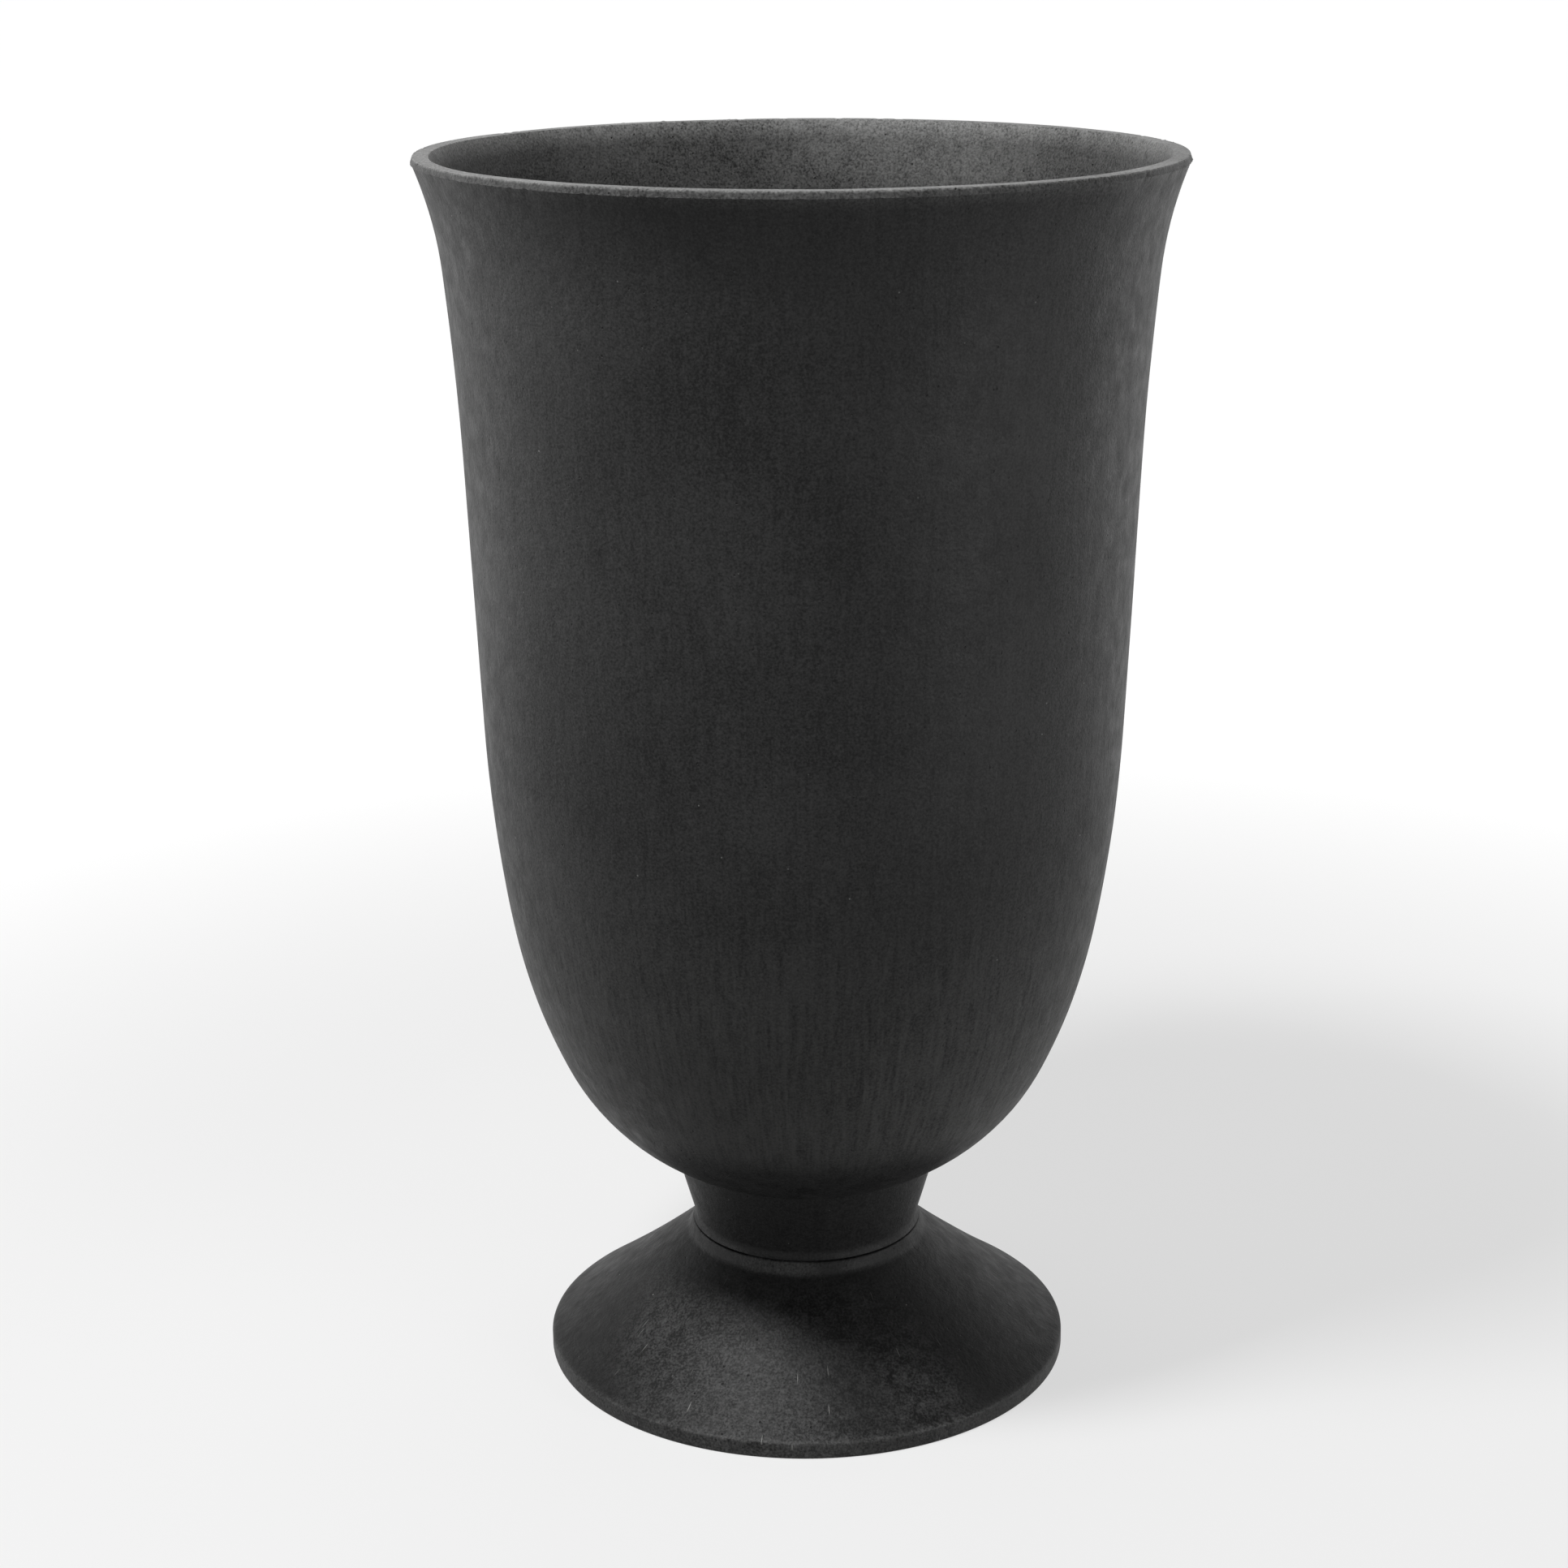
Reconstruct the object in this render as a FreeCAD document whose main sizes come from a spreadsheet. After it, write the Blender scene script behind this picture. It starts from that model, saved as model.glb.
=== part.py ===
import FreeCAD, Part
import Sketcher
import math
import os
from collections import namedtuple
from FreeCAD import Vector

# Urn planter: a tall flared bowl moulded in one piece with its neck, standing on a separate
# hollow pedestal foot. One bolt down the axis ties the two mouldings together, and a push-in
# plug closes the drain hole in the bowl's floor.
#
# Millimetres and degrees. Z is up, and the origin is the centre of the foot's base on the floor.
# Every independent size is one row here, and everything else follows from these rows.
SIZES = [
    ("rim_radius", 203.2, "outermost radius, at the lip"),
    ("bowl_height", 564.0, "from the top of the neck to the lip's top face"),
    ("wall", 9.5, "thickness of the bowl, the neck and the foot"),
    ("lip_proud", 0.6, "step by which the lip's edge stands out from the flare"),
    ("lip_inset", 1.2, "how far the lip's edge leans in towards the top"),
    ("lip_round", 0.8, "rounding of the lip's edges"),
    ("flare_radius", 210.0, "hollow curve that turns the wall out to the lip"),
    ("flare_sweep", 15.7, "turn of that curve, degrees"),
    ("shoulder_radius", 1650.0, "slow hollow curve under the flare"),
    ("shoulder_sweep", 3.6, "turn of that curve, degrees"),
    ("body_lean", 2.3, "lean of the straight side from upright, degrees"),
    ("belly_radius", 820.0, "slow round curve under the straight side"),
    ("belly_sweep", 8.3, "turn of that curve, degrees"),
    ("haunch_radius", 318.0, "round curve under the belly"),
    ("haunch_sweep", 14.5, "turn of that curve, degrees"),
    ("keel_radius", 134.0, "tight round curve that runs in to the neck"),
    ("floor_rise", 6.4, "inside floor above the top of the neck"),
    ("floor_radius", 62.0, "flat part of the inside floor"),
    ("floor_thickness", 12.0, "floor of the bowl"),
    ("neck_top_radius", 75.0, "neck where it meets the bowl's underside"),
    ("neck_height", 43.2, "from the seam to the top of the neck"),
    ("neck_waist_radius", 64.4, "neck at its narrowest"),
    ("cove_height", 5.6, "small flare at the foot of the neck"),
    ("neck_base_radius", 65.3, "neck at the seam"),
    ("seam_gap", 0.9, "shadow line between neck and foot"),
    ("seam_depth", 2.6, "how far the shadow line runs in"),
    ("seat_width", 7.4, "flat ring of the neck that sits on the foot"),
    ("spigot_wall", 8.0, "ring on the foot that centres the neck"),
    ("spigot_height", 9.0, "how far that ring stands up"),
    ("spigot_clearance", 0.3, "gap around that ring"),
    ("spigot_headroom", 2.0, "gap above that ring"),
    ("foot_height", 76.4, "from the floor to the seam"),
    ("crown_margin", 0.2, "foot's top edge outside the neck's"),
    ("crown_round", 1.0, "rounding of the foot's top edge"),
    ("collar_flare", 2.8, "how far the collar on the foot's crown widens downwards"),
    ("collar_drop", 6.4, "height of that collar"),
    ("collar_cove", 7.0, "hollow rounding under the collar"),
    ("flank_radius", 886.0, "slow hollow curve of the foot's flank"),
    ("foot_radius", 149.0, "foot at the floor"),
    ("foot_edge_height", 8.8, "upright edge of the foot"),
    ("foot_edge_round", 1.6, "rounding of the top of that edge"),
    ("base_round", 1.0, "rounding where the foot meets the floor"),
    ("base_ring_width", 13.0, "flat ring that rests on the floor"),
    ("window_count", 4, "drain windows through the foot's crown"),
    ("window_radius", 8.0, "each drain window"),
    ("window_circle_radius", 30.0, "circle of their centres"),
    ("bolt_radius", 5.0, "tie bolt, M10"),
    ("bolt_clearance", 0.5, "gap around the bolt in the mouldings"),
    ("thread_clearance", 0.05, "gap around the bolt in the nut and the washers"),
    ("bolt_tip_proud", 3.6, "bolt end below the nut"),
    ("bolt_tip_chamfer", 1.2, "lead on the bolt's end"),
    ("hex_across_flats", 17.0, "hexagon of the bolt's head and of the nut"),
    ("hex_bevel_inset", 0.425, "corner bevel of a hexagon starts this far inside its flats"),
    ("hex_bevel_slope", 30.0, "slope of that bevel, degrees"),
    ("bolt_head_height", 6.4, "bolt head"),
    ("nut_height", 8.0, "hexagon of the lock nut"),
    ("nut_collar_radius", 7.4, "rim around the nut's nylon ring"),
    ("nut_collar_height", 2.4, "that rim below the hexagon"),
    ("plate_washer_radius", 15.0, "steel washers"),
    ("plate_washer_thickness", 2.5, "steel washers"),
    ("seal_washer_radius", 17.0, "rubber washer on the bowl's floor"),
    ("seal_washer_thickness", 3.0, "rubber washer on the bowl's floor"),
    ("drain_radius", 10.0, "drain hole"),
    ("drain_offset", 40.0, "drain hole from the axis"),
    ("plug_clearance", 0.05, "gap around the plug in its hole"),
    ("plug_flange_radius", 14.5, "plug's flange"),
    ("plug_flange_thickness", 3.0, "plug's flange"),
    ("plug_below_floor", 4.0, "plug's end below the floor"),
    ("plug_lead", 1.5, "chamfer on the plug's end"),
    ("tab_width", 14.0, "pull tab on the plug"),
    ("tab_thickness", 5.0, "pull tab on the plug"),
    ("tab_height", 14.0, "pull tab on the plug"),
    ("tab_hole_radius", 3.0, "finger hole in the pull tab"),
]

# Levels and radii that several pieces share, as expressions on those rows.
SEAM = "Dims.foot_height"
NECK_TOP = f"{SEAM} + Dims.neck_height"
LIP_TOP = f"{NECK_TOP} + Dims.bowl_height"
FLOOR_TOP = f"{NECK_TOP} + Dims.floor_rise"
FLOOR_UNDERSIDE = f"{FLOOR_TOP} - Dims.floor_thickness"
CROWN_UNDERSIDE = f"{SEAM} - Dims.wall"
HEAD_SEAT = f"{FLOOR_TOP} + Dims.seal_washer_thickness + Dims.plate_washer_thickness"
NUT_SEAT = f"{CROWN_UNDERSIDE} - Dims.plate_washer_thickness"
SOCKET_RADIUS = "Dims.neck_base_radius - Dims.seam_depth - Dims.seat_width"
SPIGOT_RADIUS = f"{SOCKET_RADIUS} - Dims.spigot_clearance"
CROWN_RADIUS = "Dims.neck_base_radius + Dims.crown_margin"
COLLAR_RADIUS = f"{CROWN_RADIUS} + Dims.collar_flare"
MOULDING_HOLE = "Dims.bolt_radius + Dims.bolt_clearance"
FASTENER_HOLE = "Dims.bolt_radius + Dims.thread_clearance"

START, END, CENTRE = 1, 2, 3        # the points of a sketch edge
ORIGIN = (-1, 1)                    # a sketch's own origin
SAME_PLACE = 0.01                   # an edge this near to a stated ring is that ring
LEAST_CUT = 1.0                     # a cut that removes fewer cubic millimetres has missed
CUT_MARGIN = 0.5                    # how far a cutting outline runs past the metal

doc = FreeCAD.newDocument("UrnPlanter")
sheet = doc.addObject("Spreadsheet::Sheet", "Dims")
for row, (alias, value, note) in enumerate(SIZES, start=1):
    sheet.set(f"A{row}", note)
    sheet.set(f"B{row}", str(value))
    sheet.setAlias(f"B{row}", alias)
doc.recompute()


def worth(expression):
    """The number that an expression on the sheet comes to."""
    answer = sheet.evalExpression(expression.replace("Dims.", ""))
    return float(getattr(answer, "Value", answer))


# ------------------------------------------------------------------------------ sketch helpers

def new_body(label):
    body = doc.addObject("PartDesign::Body", label)
    body.Label = label
    return body


def new_sketch(body, name, plane, level=None):
    """An empty sketch on one of the body's own origin planes, raised to a level if one is given."""
    sketch = body.newObject("Sketcher::SketchObject", name)
    support = [feature for feature in body.Origin.OriginFeatures if feature.Role == plane][0]
    sketch.AttachmentSupport = [(support, "")]
    sketch.MapMode = "FlatFace"
    if level:
        sketch.setExpression("AttachmentOffset.Base.z", level)
    doc.recompute()
    return sketch


def fix(sketch, expression, kind, *where):
    """A dimension of the given kind whose value is bound to the sheet."""
    value = worth(expression)
    if kind == "Angle":
        value = math.radians(value)
        expression = f"({expression}) * 1 deg"
    index = sketch.addConstraint(Sketcher.Constraint(kind, *where, value))
    sketch.setExpression(f"Constraints[{index}]", expression)


def place(sketch, point, across, up):
    """Hold a point of the sketch at two distances from the origin."""
    for kind, expression in (("DistanceX", across), ("DistanceY", up)):
        if expression is not None:
            fix(sketch, expression, kind, *ORIGIN, *point)


def tie(sketch, kind, *where):
    sketch.addConstraint(Sketcher.Constraint(kind, *where))


def add_line(sketch, start, end, construction=False):
    return sketch.addGeometry(Part.LineSegment(start, end), construction)


def add_arc(sketch, centre, start, end):
    """An arc about a centre, which runs anticlockwise from start to end."""
    angles = [math.atan2(point.y - centre.y, point.x - centre.x) for point in (start, end)]
    if angles[1] < angles[0]:
        angles[1] += 2 * math.pi
    circle = Part.Circle(centre, Vector(0, 0, 1), (start - centre).Length)
    return sketch.addGeometry(Part.ArcOfCircle(circle, *angles))


def add_circle(sketch, across, radius):
    """A circle on the sketch's own X axis."""
    circle = sketch.addGeometry(Part.Circle(Vector(worth(across), 0, 0), Vector(0, 0, 1), worth(radius)))
    place(sketch, (circle, CENTRE), across, "0")
    fix(sketch, radius, "Radius", circle)
    return circle


def add_corners(sketch, corners, closed=True):
    """Straight edges through corners, each a pair of expressions. Returns the edges' numbers."""
    spots = [Vector(worth(across), worth(up), 0) for across, up in corners]
    edges = [add_line(sketch, *pair) for pair in zip(spots, spots[1:])]
    if closed:
        edges.append(add_line(sketch, spots[-1], spots[0]))
    for before, after in zip(edges, edges[1:]):
        tie(sketch, "Coincident", before, END, after, START)
    if closed:
        tie(sketch, "Coincident", edges[-1], END, edges[0], START)
    else:
        place(sketch, (edges[-1], END), *corners[-1])
    for edge, (across, up) in zip(edges, corners):
        place(sketch, (edge, START), across, up)
    return edges


def add_hexagon(sketch, across_flats):
    """A regular hexagon about the sketch's origin, two of its sides level."""
    sixth = math.pi / 3
    reach = worth(across_flats) / 2 / math.cos(sixth / 2)
    spots = [Vector(math.cos(k * sixth), math.sin(k * sixth), 0) * reach for k in range(6)]
    ring = sketch.addGeometry(Part.Circle(Vector(0, 0, 0), Vector(0, 0, 1), reach), True)
    place(sketch, (ring, CENTRE), "0", "0")
    fix(sketch, f"({across_flats}) / 2 / cos(30 deg)", "Radius", ring)
    sides = [add_line(sketch, spots[k], spots[(k + 1) % 6]) for k in range(6)]
    for k, side in enumerate(sides):
        tie(sketch, "Coincident", side, END, sides[(k + 1) % 6], START)
        tie(sketch, "PointOnObject", side, START, ring)
    for side in sides[1:]:
        tie(sketch, "Equal", sides[0], side)
    tie(sketch, "Horizontal", sides[1])


# ----------------------------------------------------------------------------- feature helpers

def add_feature(body, kind, name, sketch=None, **settings):
    """A feature of the body. A setting written as text is an expression on the sheet."""
    feature = body.newObject(f"PartDesign::{kind}", name)
    if sketch:
        feature.Profile = sketch
        sketch.Visibility = False
    for key, value in settings.items():
        if isinstance(value, str) and ("Dims." in value):
            feature.setExpression(key, value)
        else:
            setattr(feature, key, value)
    doc.recompute()
    return feature


def revolve(body, sketch, kind="Revolution"):
    """Turn a half section once around the vertical axis."""
    name = f"{sketch.Name}_turned"
    return add_feature(body, kind, name, sketch, ReferenceAxis=(sketch, ["V_Axis"]), Angle=360.0)


def cut_through(body, sketch, name):
    """Cut a sketch upwards through the whole body, and make sure that it removed something."""
    before = body.Shape.Volume
    pocket = add_feature(body, "Pocket", name, sketch, Type="ThroughAll", Reversed=True)
    if body.Shape.Volume > before - LEAST_CUT:
        raise ValueError(f"{name} removed nothing")
    return pocket


def ring_edges(shape, rings):
    """Names of the full-circle edges about the axis at each (radius, height)."""
    names = []
    for number, edge in enumerate(shape.Edges, start=1):
        if not isinstance(edge.Curve, Part.Circle):
            continue
        for radius, height in rings:
            off_axis = (edge.Curve.Center - Vector(0, 0, height)).Length
            if off_axis + abs(edge.Curve.Radius - radius) < SAME_PLACE:
                names.append(f"Edge{number}")
    if len(names) != len(rings):
        raise ValueError(f"wanted {len(rings)} edges, found {names}")
    return names


def soften(body, kind, name, rings, size):
    """Fillet or chamfer the circular edges at each pair of expressions (radius, height)."""
    spots = [(worth(radius), worth(height)) for radius, height in rings]
    key = "Radius" if kind == "Fillet" else "Size"
    base = body.Tip
    return add_feature(body, kind, name, Base=(base, ring_edges(base.Shape, spots)), **{key: size})


# --------------------------------------------------------------------------------------- bowl

# One stretch of the bowl's outside: its name, its upper and lower joints with the wall's lean at
# each in degrees from upright, and the centre and radius of its arc. A hollow arc has a negative
# radius, and the straight side has neither centre nor radius.
Stretch = namedtuple("Stretch", "name top bottom top_lean bottom_lean centre radius")


def outward(lean):
    """Unit vector out of the wall where the wall leans this many degrees from upright."""
    angle = math.radians(lean)
    return Vector(math.cos(angle), -math.sin(angle), 0)


def arc_below(name, top, lean, radius, sweep):
    """The tangent arc that leaves a joint downwards and turns the wall by its sweep."""
    centre = top - outward(lean) * radius
    bottom_lean = lean + math.copysign(sweep, radius)
    return Stretch(name, top, centre + outward(bottom_lean) * radius, lean, bottom_lean, centre, radius)


def bowl_stretches():
    """The outside of the bowl from the lip down to the neck: five tangent arcs and a straight side.

    The length of the straight side and the sweep of the keel close the outline on the neck.
    """
    side_lean = worth("Dims.body_lean")
    lean = worth("Dims.body_lean + Dims.shoulder_sweep + Dims.flare_sweep")
    joint = Vector(worth("Dims.rim_radius - Dims.lip_proud"), worth(LIP_TOP), 0)
    joint.y -= worth("Dims.wall") * math.sin(math.radians(lean))
    neck = Vector(worth("Dims.neck_top_radius"), worth(NECK_TOP), 0)

    upper, lower = [], []
    for group, sign, names in ((upper, -1, ("flare", "shoulder")), (lower, 1, ("belly", "haunch"))):
        for name in names:
            radius, sweep = worth(f"Dims.{name}_radius"), worth(f"Dims.{name}_sweep")
            group.append(arc_below(name, joint, lean, sign * radius, sweep))
            joint, lean = group[-1].bottom, group[-1].bottom_lean

    keel = worth("Dims.keel_radius")
    reach = (neck - joint).dot(outward(side_lean)) / keel + math.cos(math.radians(lean - side_lean))
    neck_lean = side_lean + math.degrees(math.acos(reach))
    lower.append(arc_below("keel", joint, lean, keel, neck_lean - lean))

    # The lower arcs were laid out from the shoulder's end, so they slide down the straight side.
    slide = neck - lower[-1].bottom
    side_top = upper[-1].bottom
    side = Stretch("side", side_top, side_top + slide, side_lean, side_lean, None, None)
    moved = [arc._replace(top=arc.top + slide, bottom=arc.bottom + slide, centre=arc.centre + slide)
             for arc in lower]
    return upper + [side] + moved


def draw_stretch(sketch, stretch, inset):
    """One stretch, moved in by an inset. Returns its edge, its upper end and its lower end."""
    top = stretch.top - outward(stretch.top_lean) * inset
    bottom = stretch.bottom - outward(stretch.bottom_lean) * inset
    if stretch.centre is None:
        return add_line(sketch, bottom, top), END, START
    if stretch.radius < 0:
        return add_arc(sketch, stretch.centre, top, bottom), START, END
    return add_arc(sketch, stretch.centre, bottom, top), END, START


def add_wall(sketch):
    """Both faces of the bowl's wall. Returns the outer face's top and bottom, then the inner's."""
    stretches = bowl_stretches()
    thickness = worth("Dims.wall")
    outer = [draw_stretch(sketch, stretch, 0) for stretch in stretches]
    inner = [draw_stretch(sketch, stretch, thickness) for stretch in stretches]

    for (above, _, lower_end), (below, upper_end, _) in zip(outer, outer[1:]):
        tie(sketch, "Tangent", above, lower_end, below, upper_end)
    for stretch, (edge, _, _) in zip(stretches, outer):
        if stretch.name == "side":
            fix(sketch, "90 - Dims.body_lean", "Angle", edge)
            continue
        fix(sketch, f"Dims.{stretch.name}_radius", "Radius", edge)
        if stretch.name != "keel":
            fix(sketch, f"Dims.{stretch.name}_sweep", "Angle", edge)

    # A rib square across the wall at each joint keeps the inner face parallel to the outer one.
    # It points at the centre of the arc that starts there, or else of the arc that ends there.
    ribs = []
    last = stretches[-1]
    joints = [(stretch.top, stretch.top_lean) for stretch in stretches] + [(last.bottom, last.bottom_lean)]
    for number, (spot, lean) in enumerate(joints):
        rib = add_line(sketch, spot, spot - outward(lean) * thickness, True)
        edge, upper_end, lower_end = outer[min(number, len(outer) - 1)]
        tie(sketch, "Coincident", rib, START, edge, upper_end if number < len(outer) else lower_end)
        starts_arc = number < len(outer) and stretches[number].centre
        tie(sketch, "PointOnObject", outer[number if starts_arc else number - 1][0], CENTRE, rib)
        ribs.append(rib)
    fix(sketch, "Dims.wall", "Distance", ribs[0])
    for number, (stretch, (edge, upper_end, lower_end)) in enumerate(zip(stretches, inner)):
        twin = outer[number][0]
        tie(sketch, "Coincident", edge, upper_end, ribs[number], END)
        tie(sketch, "Coincident", edge, lower_end, ribs[number + 1], END)
        if stretch.centre:
            tie(sketch, "Coincident", edge, CENTRE, twin, CENTRE)
        else:
            tie(sketch, "Parallel", edge, twin)
    return outer[0][:2], outer[-1][::2], inner[0][:2], inner[-1][::2]


def make_bowl():
    body = new_body("bowl")
    sketch = new_sketch(body, "bowl_section", "XZ_Plane")
    outer_top, outer_bottom, inner_top, inner_bottom = add_wall(sketch)

    # Lip: a narrow step out, the leaning edge, and the flat top face.
    rim = Vector(worth("Dims.rim_radius"), sketch.getPoint(*outer_top).y, 0)
    brow = Vector(worth("Dims.rim_radius - Dims.lip_inset"), worth(LIP_TOP), 0)
    step = add_line(sketch, sketch.getPoint(*outer_top), rim)
    edge = add_line(sketch, rim, brow)
    top = add_line(sketch, brow, sketch.getPoint(*inner_top))
    tie(sketch, "Coincident", step, START, *outer_top)
    tie(sketch, "Horizontal", step)
    tie(sketch, "Coincident", step, END, edge, START)
    tie(sketch, "Coincident", edge, END, top, START)
    tie(sketch, "Horizontal", top)
    tie(sketch, "Coincident", top, END, *inner_top)
    place(sketch, outer_top, "Dims.rim_radius - Dims.lip_proud", None)
    place(sketch, (edge, START), "Dims.rim_radius", None)
    place(sketch, (edge, END), "Dims.rim_radius - Dims.lip_inset", LIP_TOP)

    # Neck: a cone that narrows downwards and ends in a small flare at the seam.
    neck_top = Vector(worth("Dims.neck_top_radius"), worth(NECK_TOP), 0)
    base_level = f"{SEAM} + Dims.seam_gap"
    waist_level = f"{base_level} + Dims.cove_height"
    waist = Vector(worth("Dims.neck_waist_radius"), worth(waist_level), 0)
    base = Vector(worth("Dims.neck_base_radius"), worth(base_level), 0)
    cone = add_line(sketch, neck_top, waist)
    tie(sketch, "Coincident", cone, START, *outer_bottom)
    place(sketch, (cone, START), "Dims.neck_top_radius", NECK_TOP)
    place(sketch, (cone, END), "Dims.neck_waist_radius", waist_level)
    down = (waist - neck_top).normalize()
    side = Vector(-down.y, down.x, 0)
    chord = base - waist
    centre = waist + side * (chord.dot(chord) / 2 / chord.dot(side))
    cove = add_arc(sketch, centre, waist, base)
    tie(sketch, "Tangent", cone, END, cove, START)
    land_radius = "Dims.neck_base_radius - Dims.seam_depth"
    socket_top = f"{SEAM} + Dims.spigot_height + Dims.spigot_headroom"
    under = add_corners(sketch, [
        ("Dims.neck_base_radius", base_level),
        (land_radius, base_level),
        (land_radius, SEAM),
        (SOCKET_RADIUS, SEAM),
        (SOCKET_RADIUS, socket_top),
    ], closed=False)
    tie(sketch, "Coincident", cove, END, under[0], START)

    # Inside of the neck, the floor and its bolt hole.
    inner_waist = waist - side * worth("Dims.wall")
    cone_bottom, cone_top = [inner_waist + down * ((worth(level) - inner_waist.y) / down.y)
                             for level in (socket_top, FLOOR_UNDERSIDE)]
    ledge = add_line(sketch, sketch.getPoint(under[-1], END), cone_bottom)
    inner_cone = add_line(sketch, cone_bottom, cone_top)
    tie(sketch, "Coincident", ledge, START, under[-1], END)
    tie(sketch, "Horizontal", ledge)
    tie(sketch, "Coincident", ledge, END, inner_cone, START)
    tie(sketch, "Parallel", inner_cone, cone)
    fix(sketch, "Dims.wall", "Distance", inner_cone, START, cone)
    hole_bottom = Vector(worth(MOULDING_HOLE), worth(FLOOR_UNDERSIDE), 0)
    ceiling = add_line(sketch, cone_top, hole_bottom)
    tie(sketch, "Coincident", inner_cone, END, ceiling, START)
    tie(sketch, "Horizontal", ceiling)
    floor = add_corners(sketch, [
        (MOULDING_HOLE, FLOOR_UNDERSIDE),
        (MOULDING_HOLE, FLOOR_TOP),
        ("Dims.floor_radius", FLOOR_TOP),
    ], closed=False)
    tie(sketch, "Coincident", ceiling, END, floor[0], START)
    dish = add_line(sketch, sketch.getPoint(floor[-1], END), sketch.getPoint(*inner_bottom))
    tie(sketch, "Coincident", floor[-1], END, dish, START)
    tie(sketch, "Coincident", dish, END, *inner_bottom)
    doc.recompute()
    revolve(body, sketch)

    brow_ring = ("Dims.rim_radius - Dims.lip_inset", LIP_TOP)
    soften(body, "Fillet", "bowl_lip_round", [brow_ring], "Dims.lip_round")

    drain = new_sketch(body, "bowl_drain_hole", "XY_Plane")
    add_circle(drain, "Dims.drain_offset", "Dims.drain_radius")
    cut_through(body, drain, "bowl_drain")
    return body


# ------------------------------------------------------------------------------ pedestal foot

def make_foot():
    body = new_body("pedestal_foot")
    sketch = new_sketch(body, "foot_section", "XZ_Plane")
    spigot_inner = f"{SPIGOT_RADIUS} - Dims.spigot_wall"
    spigot_top = f"{SEAM} + Dims.spigot_height"
    collar_level = f"{SEAM} - Dims.collar_drop"
    crown = add_corners(sketch, [
        (MOULDING_HOLE, CROWN_UNDERSIDE),
        (MOULDING_HOLE, SEAM),
        (spigot_inner, SEAM),
        (spigot_inner, spigot_top),
        (SPIGOT_RADIUS, spigot_top),
        (SPIGOT_RADIUS, SEAM),
        (CROWN_RADIUS, SEAM),
        (COLLAR_RADIUS, collar_level),
    ], closed=False)

    # Flank: one slow hollow curve outside, and the same curve a wall further in inside.
    collar = sketch.getPoint(crown[-1], END)
    edge_top = Vector(worth("Dims.foot_radius"), worth("Dims.foot_edge_height"), 0)
    chord = edge_top - collar
    middle = (edge_top + collar) / 2
    above = Vector(-chord.y, chord.x, 0).normalize()
    rise = math.sqrt(worth("Dims.flank_radius") ** 2 - chord.Length ** 2 / 4)
    centre = middle + above * rise
    flank = add_arc(sketch, centre, collar, edge_top)
    tie(sketch, "Coincident", flank, START, crown[-1], END)
    fix(sketch, "Dims.flank_radius", "Radius", flank)
    inner_foot = "Dims.foot_radius - Dims.base_ring_width"
    edge = add_corners(sketch, [
        ("Dims.foot_radius", "Dims.foot_edge_height"),
        ("Dims.foot_radius", "0"),
        (inner_foot, "0"),
    ], closed=False)
    tie(sketch, "Coincident", flank, END, edge[0], START)
    inner_radius = worth("Dims.flank_radius + Dims.wall")
    reach = worth(inner_foot) - centre.x
    skirt_top = Vector(worth(inner_foot), centre.y - math.sqrt(inner_radius ** 2 - reach ** 2), 0)
    drop = centre.y - worth(CROWN_UNDERSIDE)
    crown_end = Vector(centre.x - math.sqrt(inner_radius ** 2 - drop ** 2), worth(CROWN_UNDERSIDE), 0)
    skirt = add_line(sketch, sketch.getPoint(edge[-1], END), skirt_top)
    inner_flank = add_arc(sketch, centre, crown_end, skirt_top)
    ceiling = add_line(sketch, crown_end, sketch.getPoint(crown[0], START))
    tie(sketch, "Coincident", skirt, START, edge[-1], END)
    tie(sketch, "Vertical", skirt)
    tie(sketch, "Coincident", skirt, END, inner_flank, END)
    tie(sketch, "Coincident", inner_flank, CENTRE, flank, CENTRE)
    fix(sketch, "Dims.flank_radius + Dims.wall", "Radius", inner_flank)
    tie(sketch, "Coincident", inner_flank, START, ceiling, START)
    tie(sketch, "Horizontal", ceiling)
    tie(sketch, "Coincident", ceiling, END, crown[0], START)
    doc.recompute()
    revolve(body, sketch)

    soften(body, "Fillet", "foot_collar_cove", [(COLLAR_RADIUS, collar_level)], "Dims.collar_cove")
    soften(body, "Fillet", "foot_crown_round", [(CROWN_RADIUS, SEAM)], "Dims.crown_round")
    top_ring = ("Dims.foot_radius", "Dims.foot_edge_height")
    soften(body, "Fillet", "foot_edge_softening", [top_ring], "Dims.foot_edge_round")
    soften(body, "Fillet", "foot_base_softening", [("Dims.foot_radius", "0")], "Dims.base_round")

    window = new_sketch(body, "foot_window_circle", "XY_Plane")
    add_circle(window, "Dims.window_circle_radius", "Dims.window_radius")
    pocket = cut_through(body, window, "foot_window")
    pattern = add_feature(body, "PolarPattern", "foot_windows", Originals=[pocket],
                          Axis=(window, ["N_Axis"]), Angle=360.0, Occurrences="Dims.window_count")
    body.Tip = pattern
    doc.recompute()
    return body


# ---------------------------------------------------------------------------------- fasteners

def bevel_hexagon(body, name, level):
    """Turn the corners of a hexagon's upper face to a cone, as on every machined head and nut."""
    start = "(Dims.hex_across_flats / 2 - Dims.hex_bevel_inset)"
    past_corner = f"(Dims.hex_across_flats / 2 / cos(30 deg) + {CUT_MARGIN})"
    drop = f"({past_corner} - {start}) * tan(Dims.hex_bevel_slope * 1 deg)"
    sketch = new_sketch(body, name, "XZ_Plane")
    add_corners(sketch, [(start, level), (past_corner, level), (past_corner, f"{level} - {drop}")])
    before = body.Shape.Volume
    revolve(body, sketch, "Groove")
    if body.Shape.Volume > before - LEAST_CUT:
        raise ValueError(f"{name} removed nothing")


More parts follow.
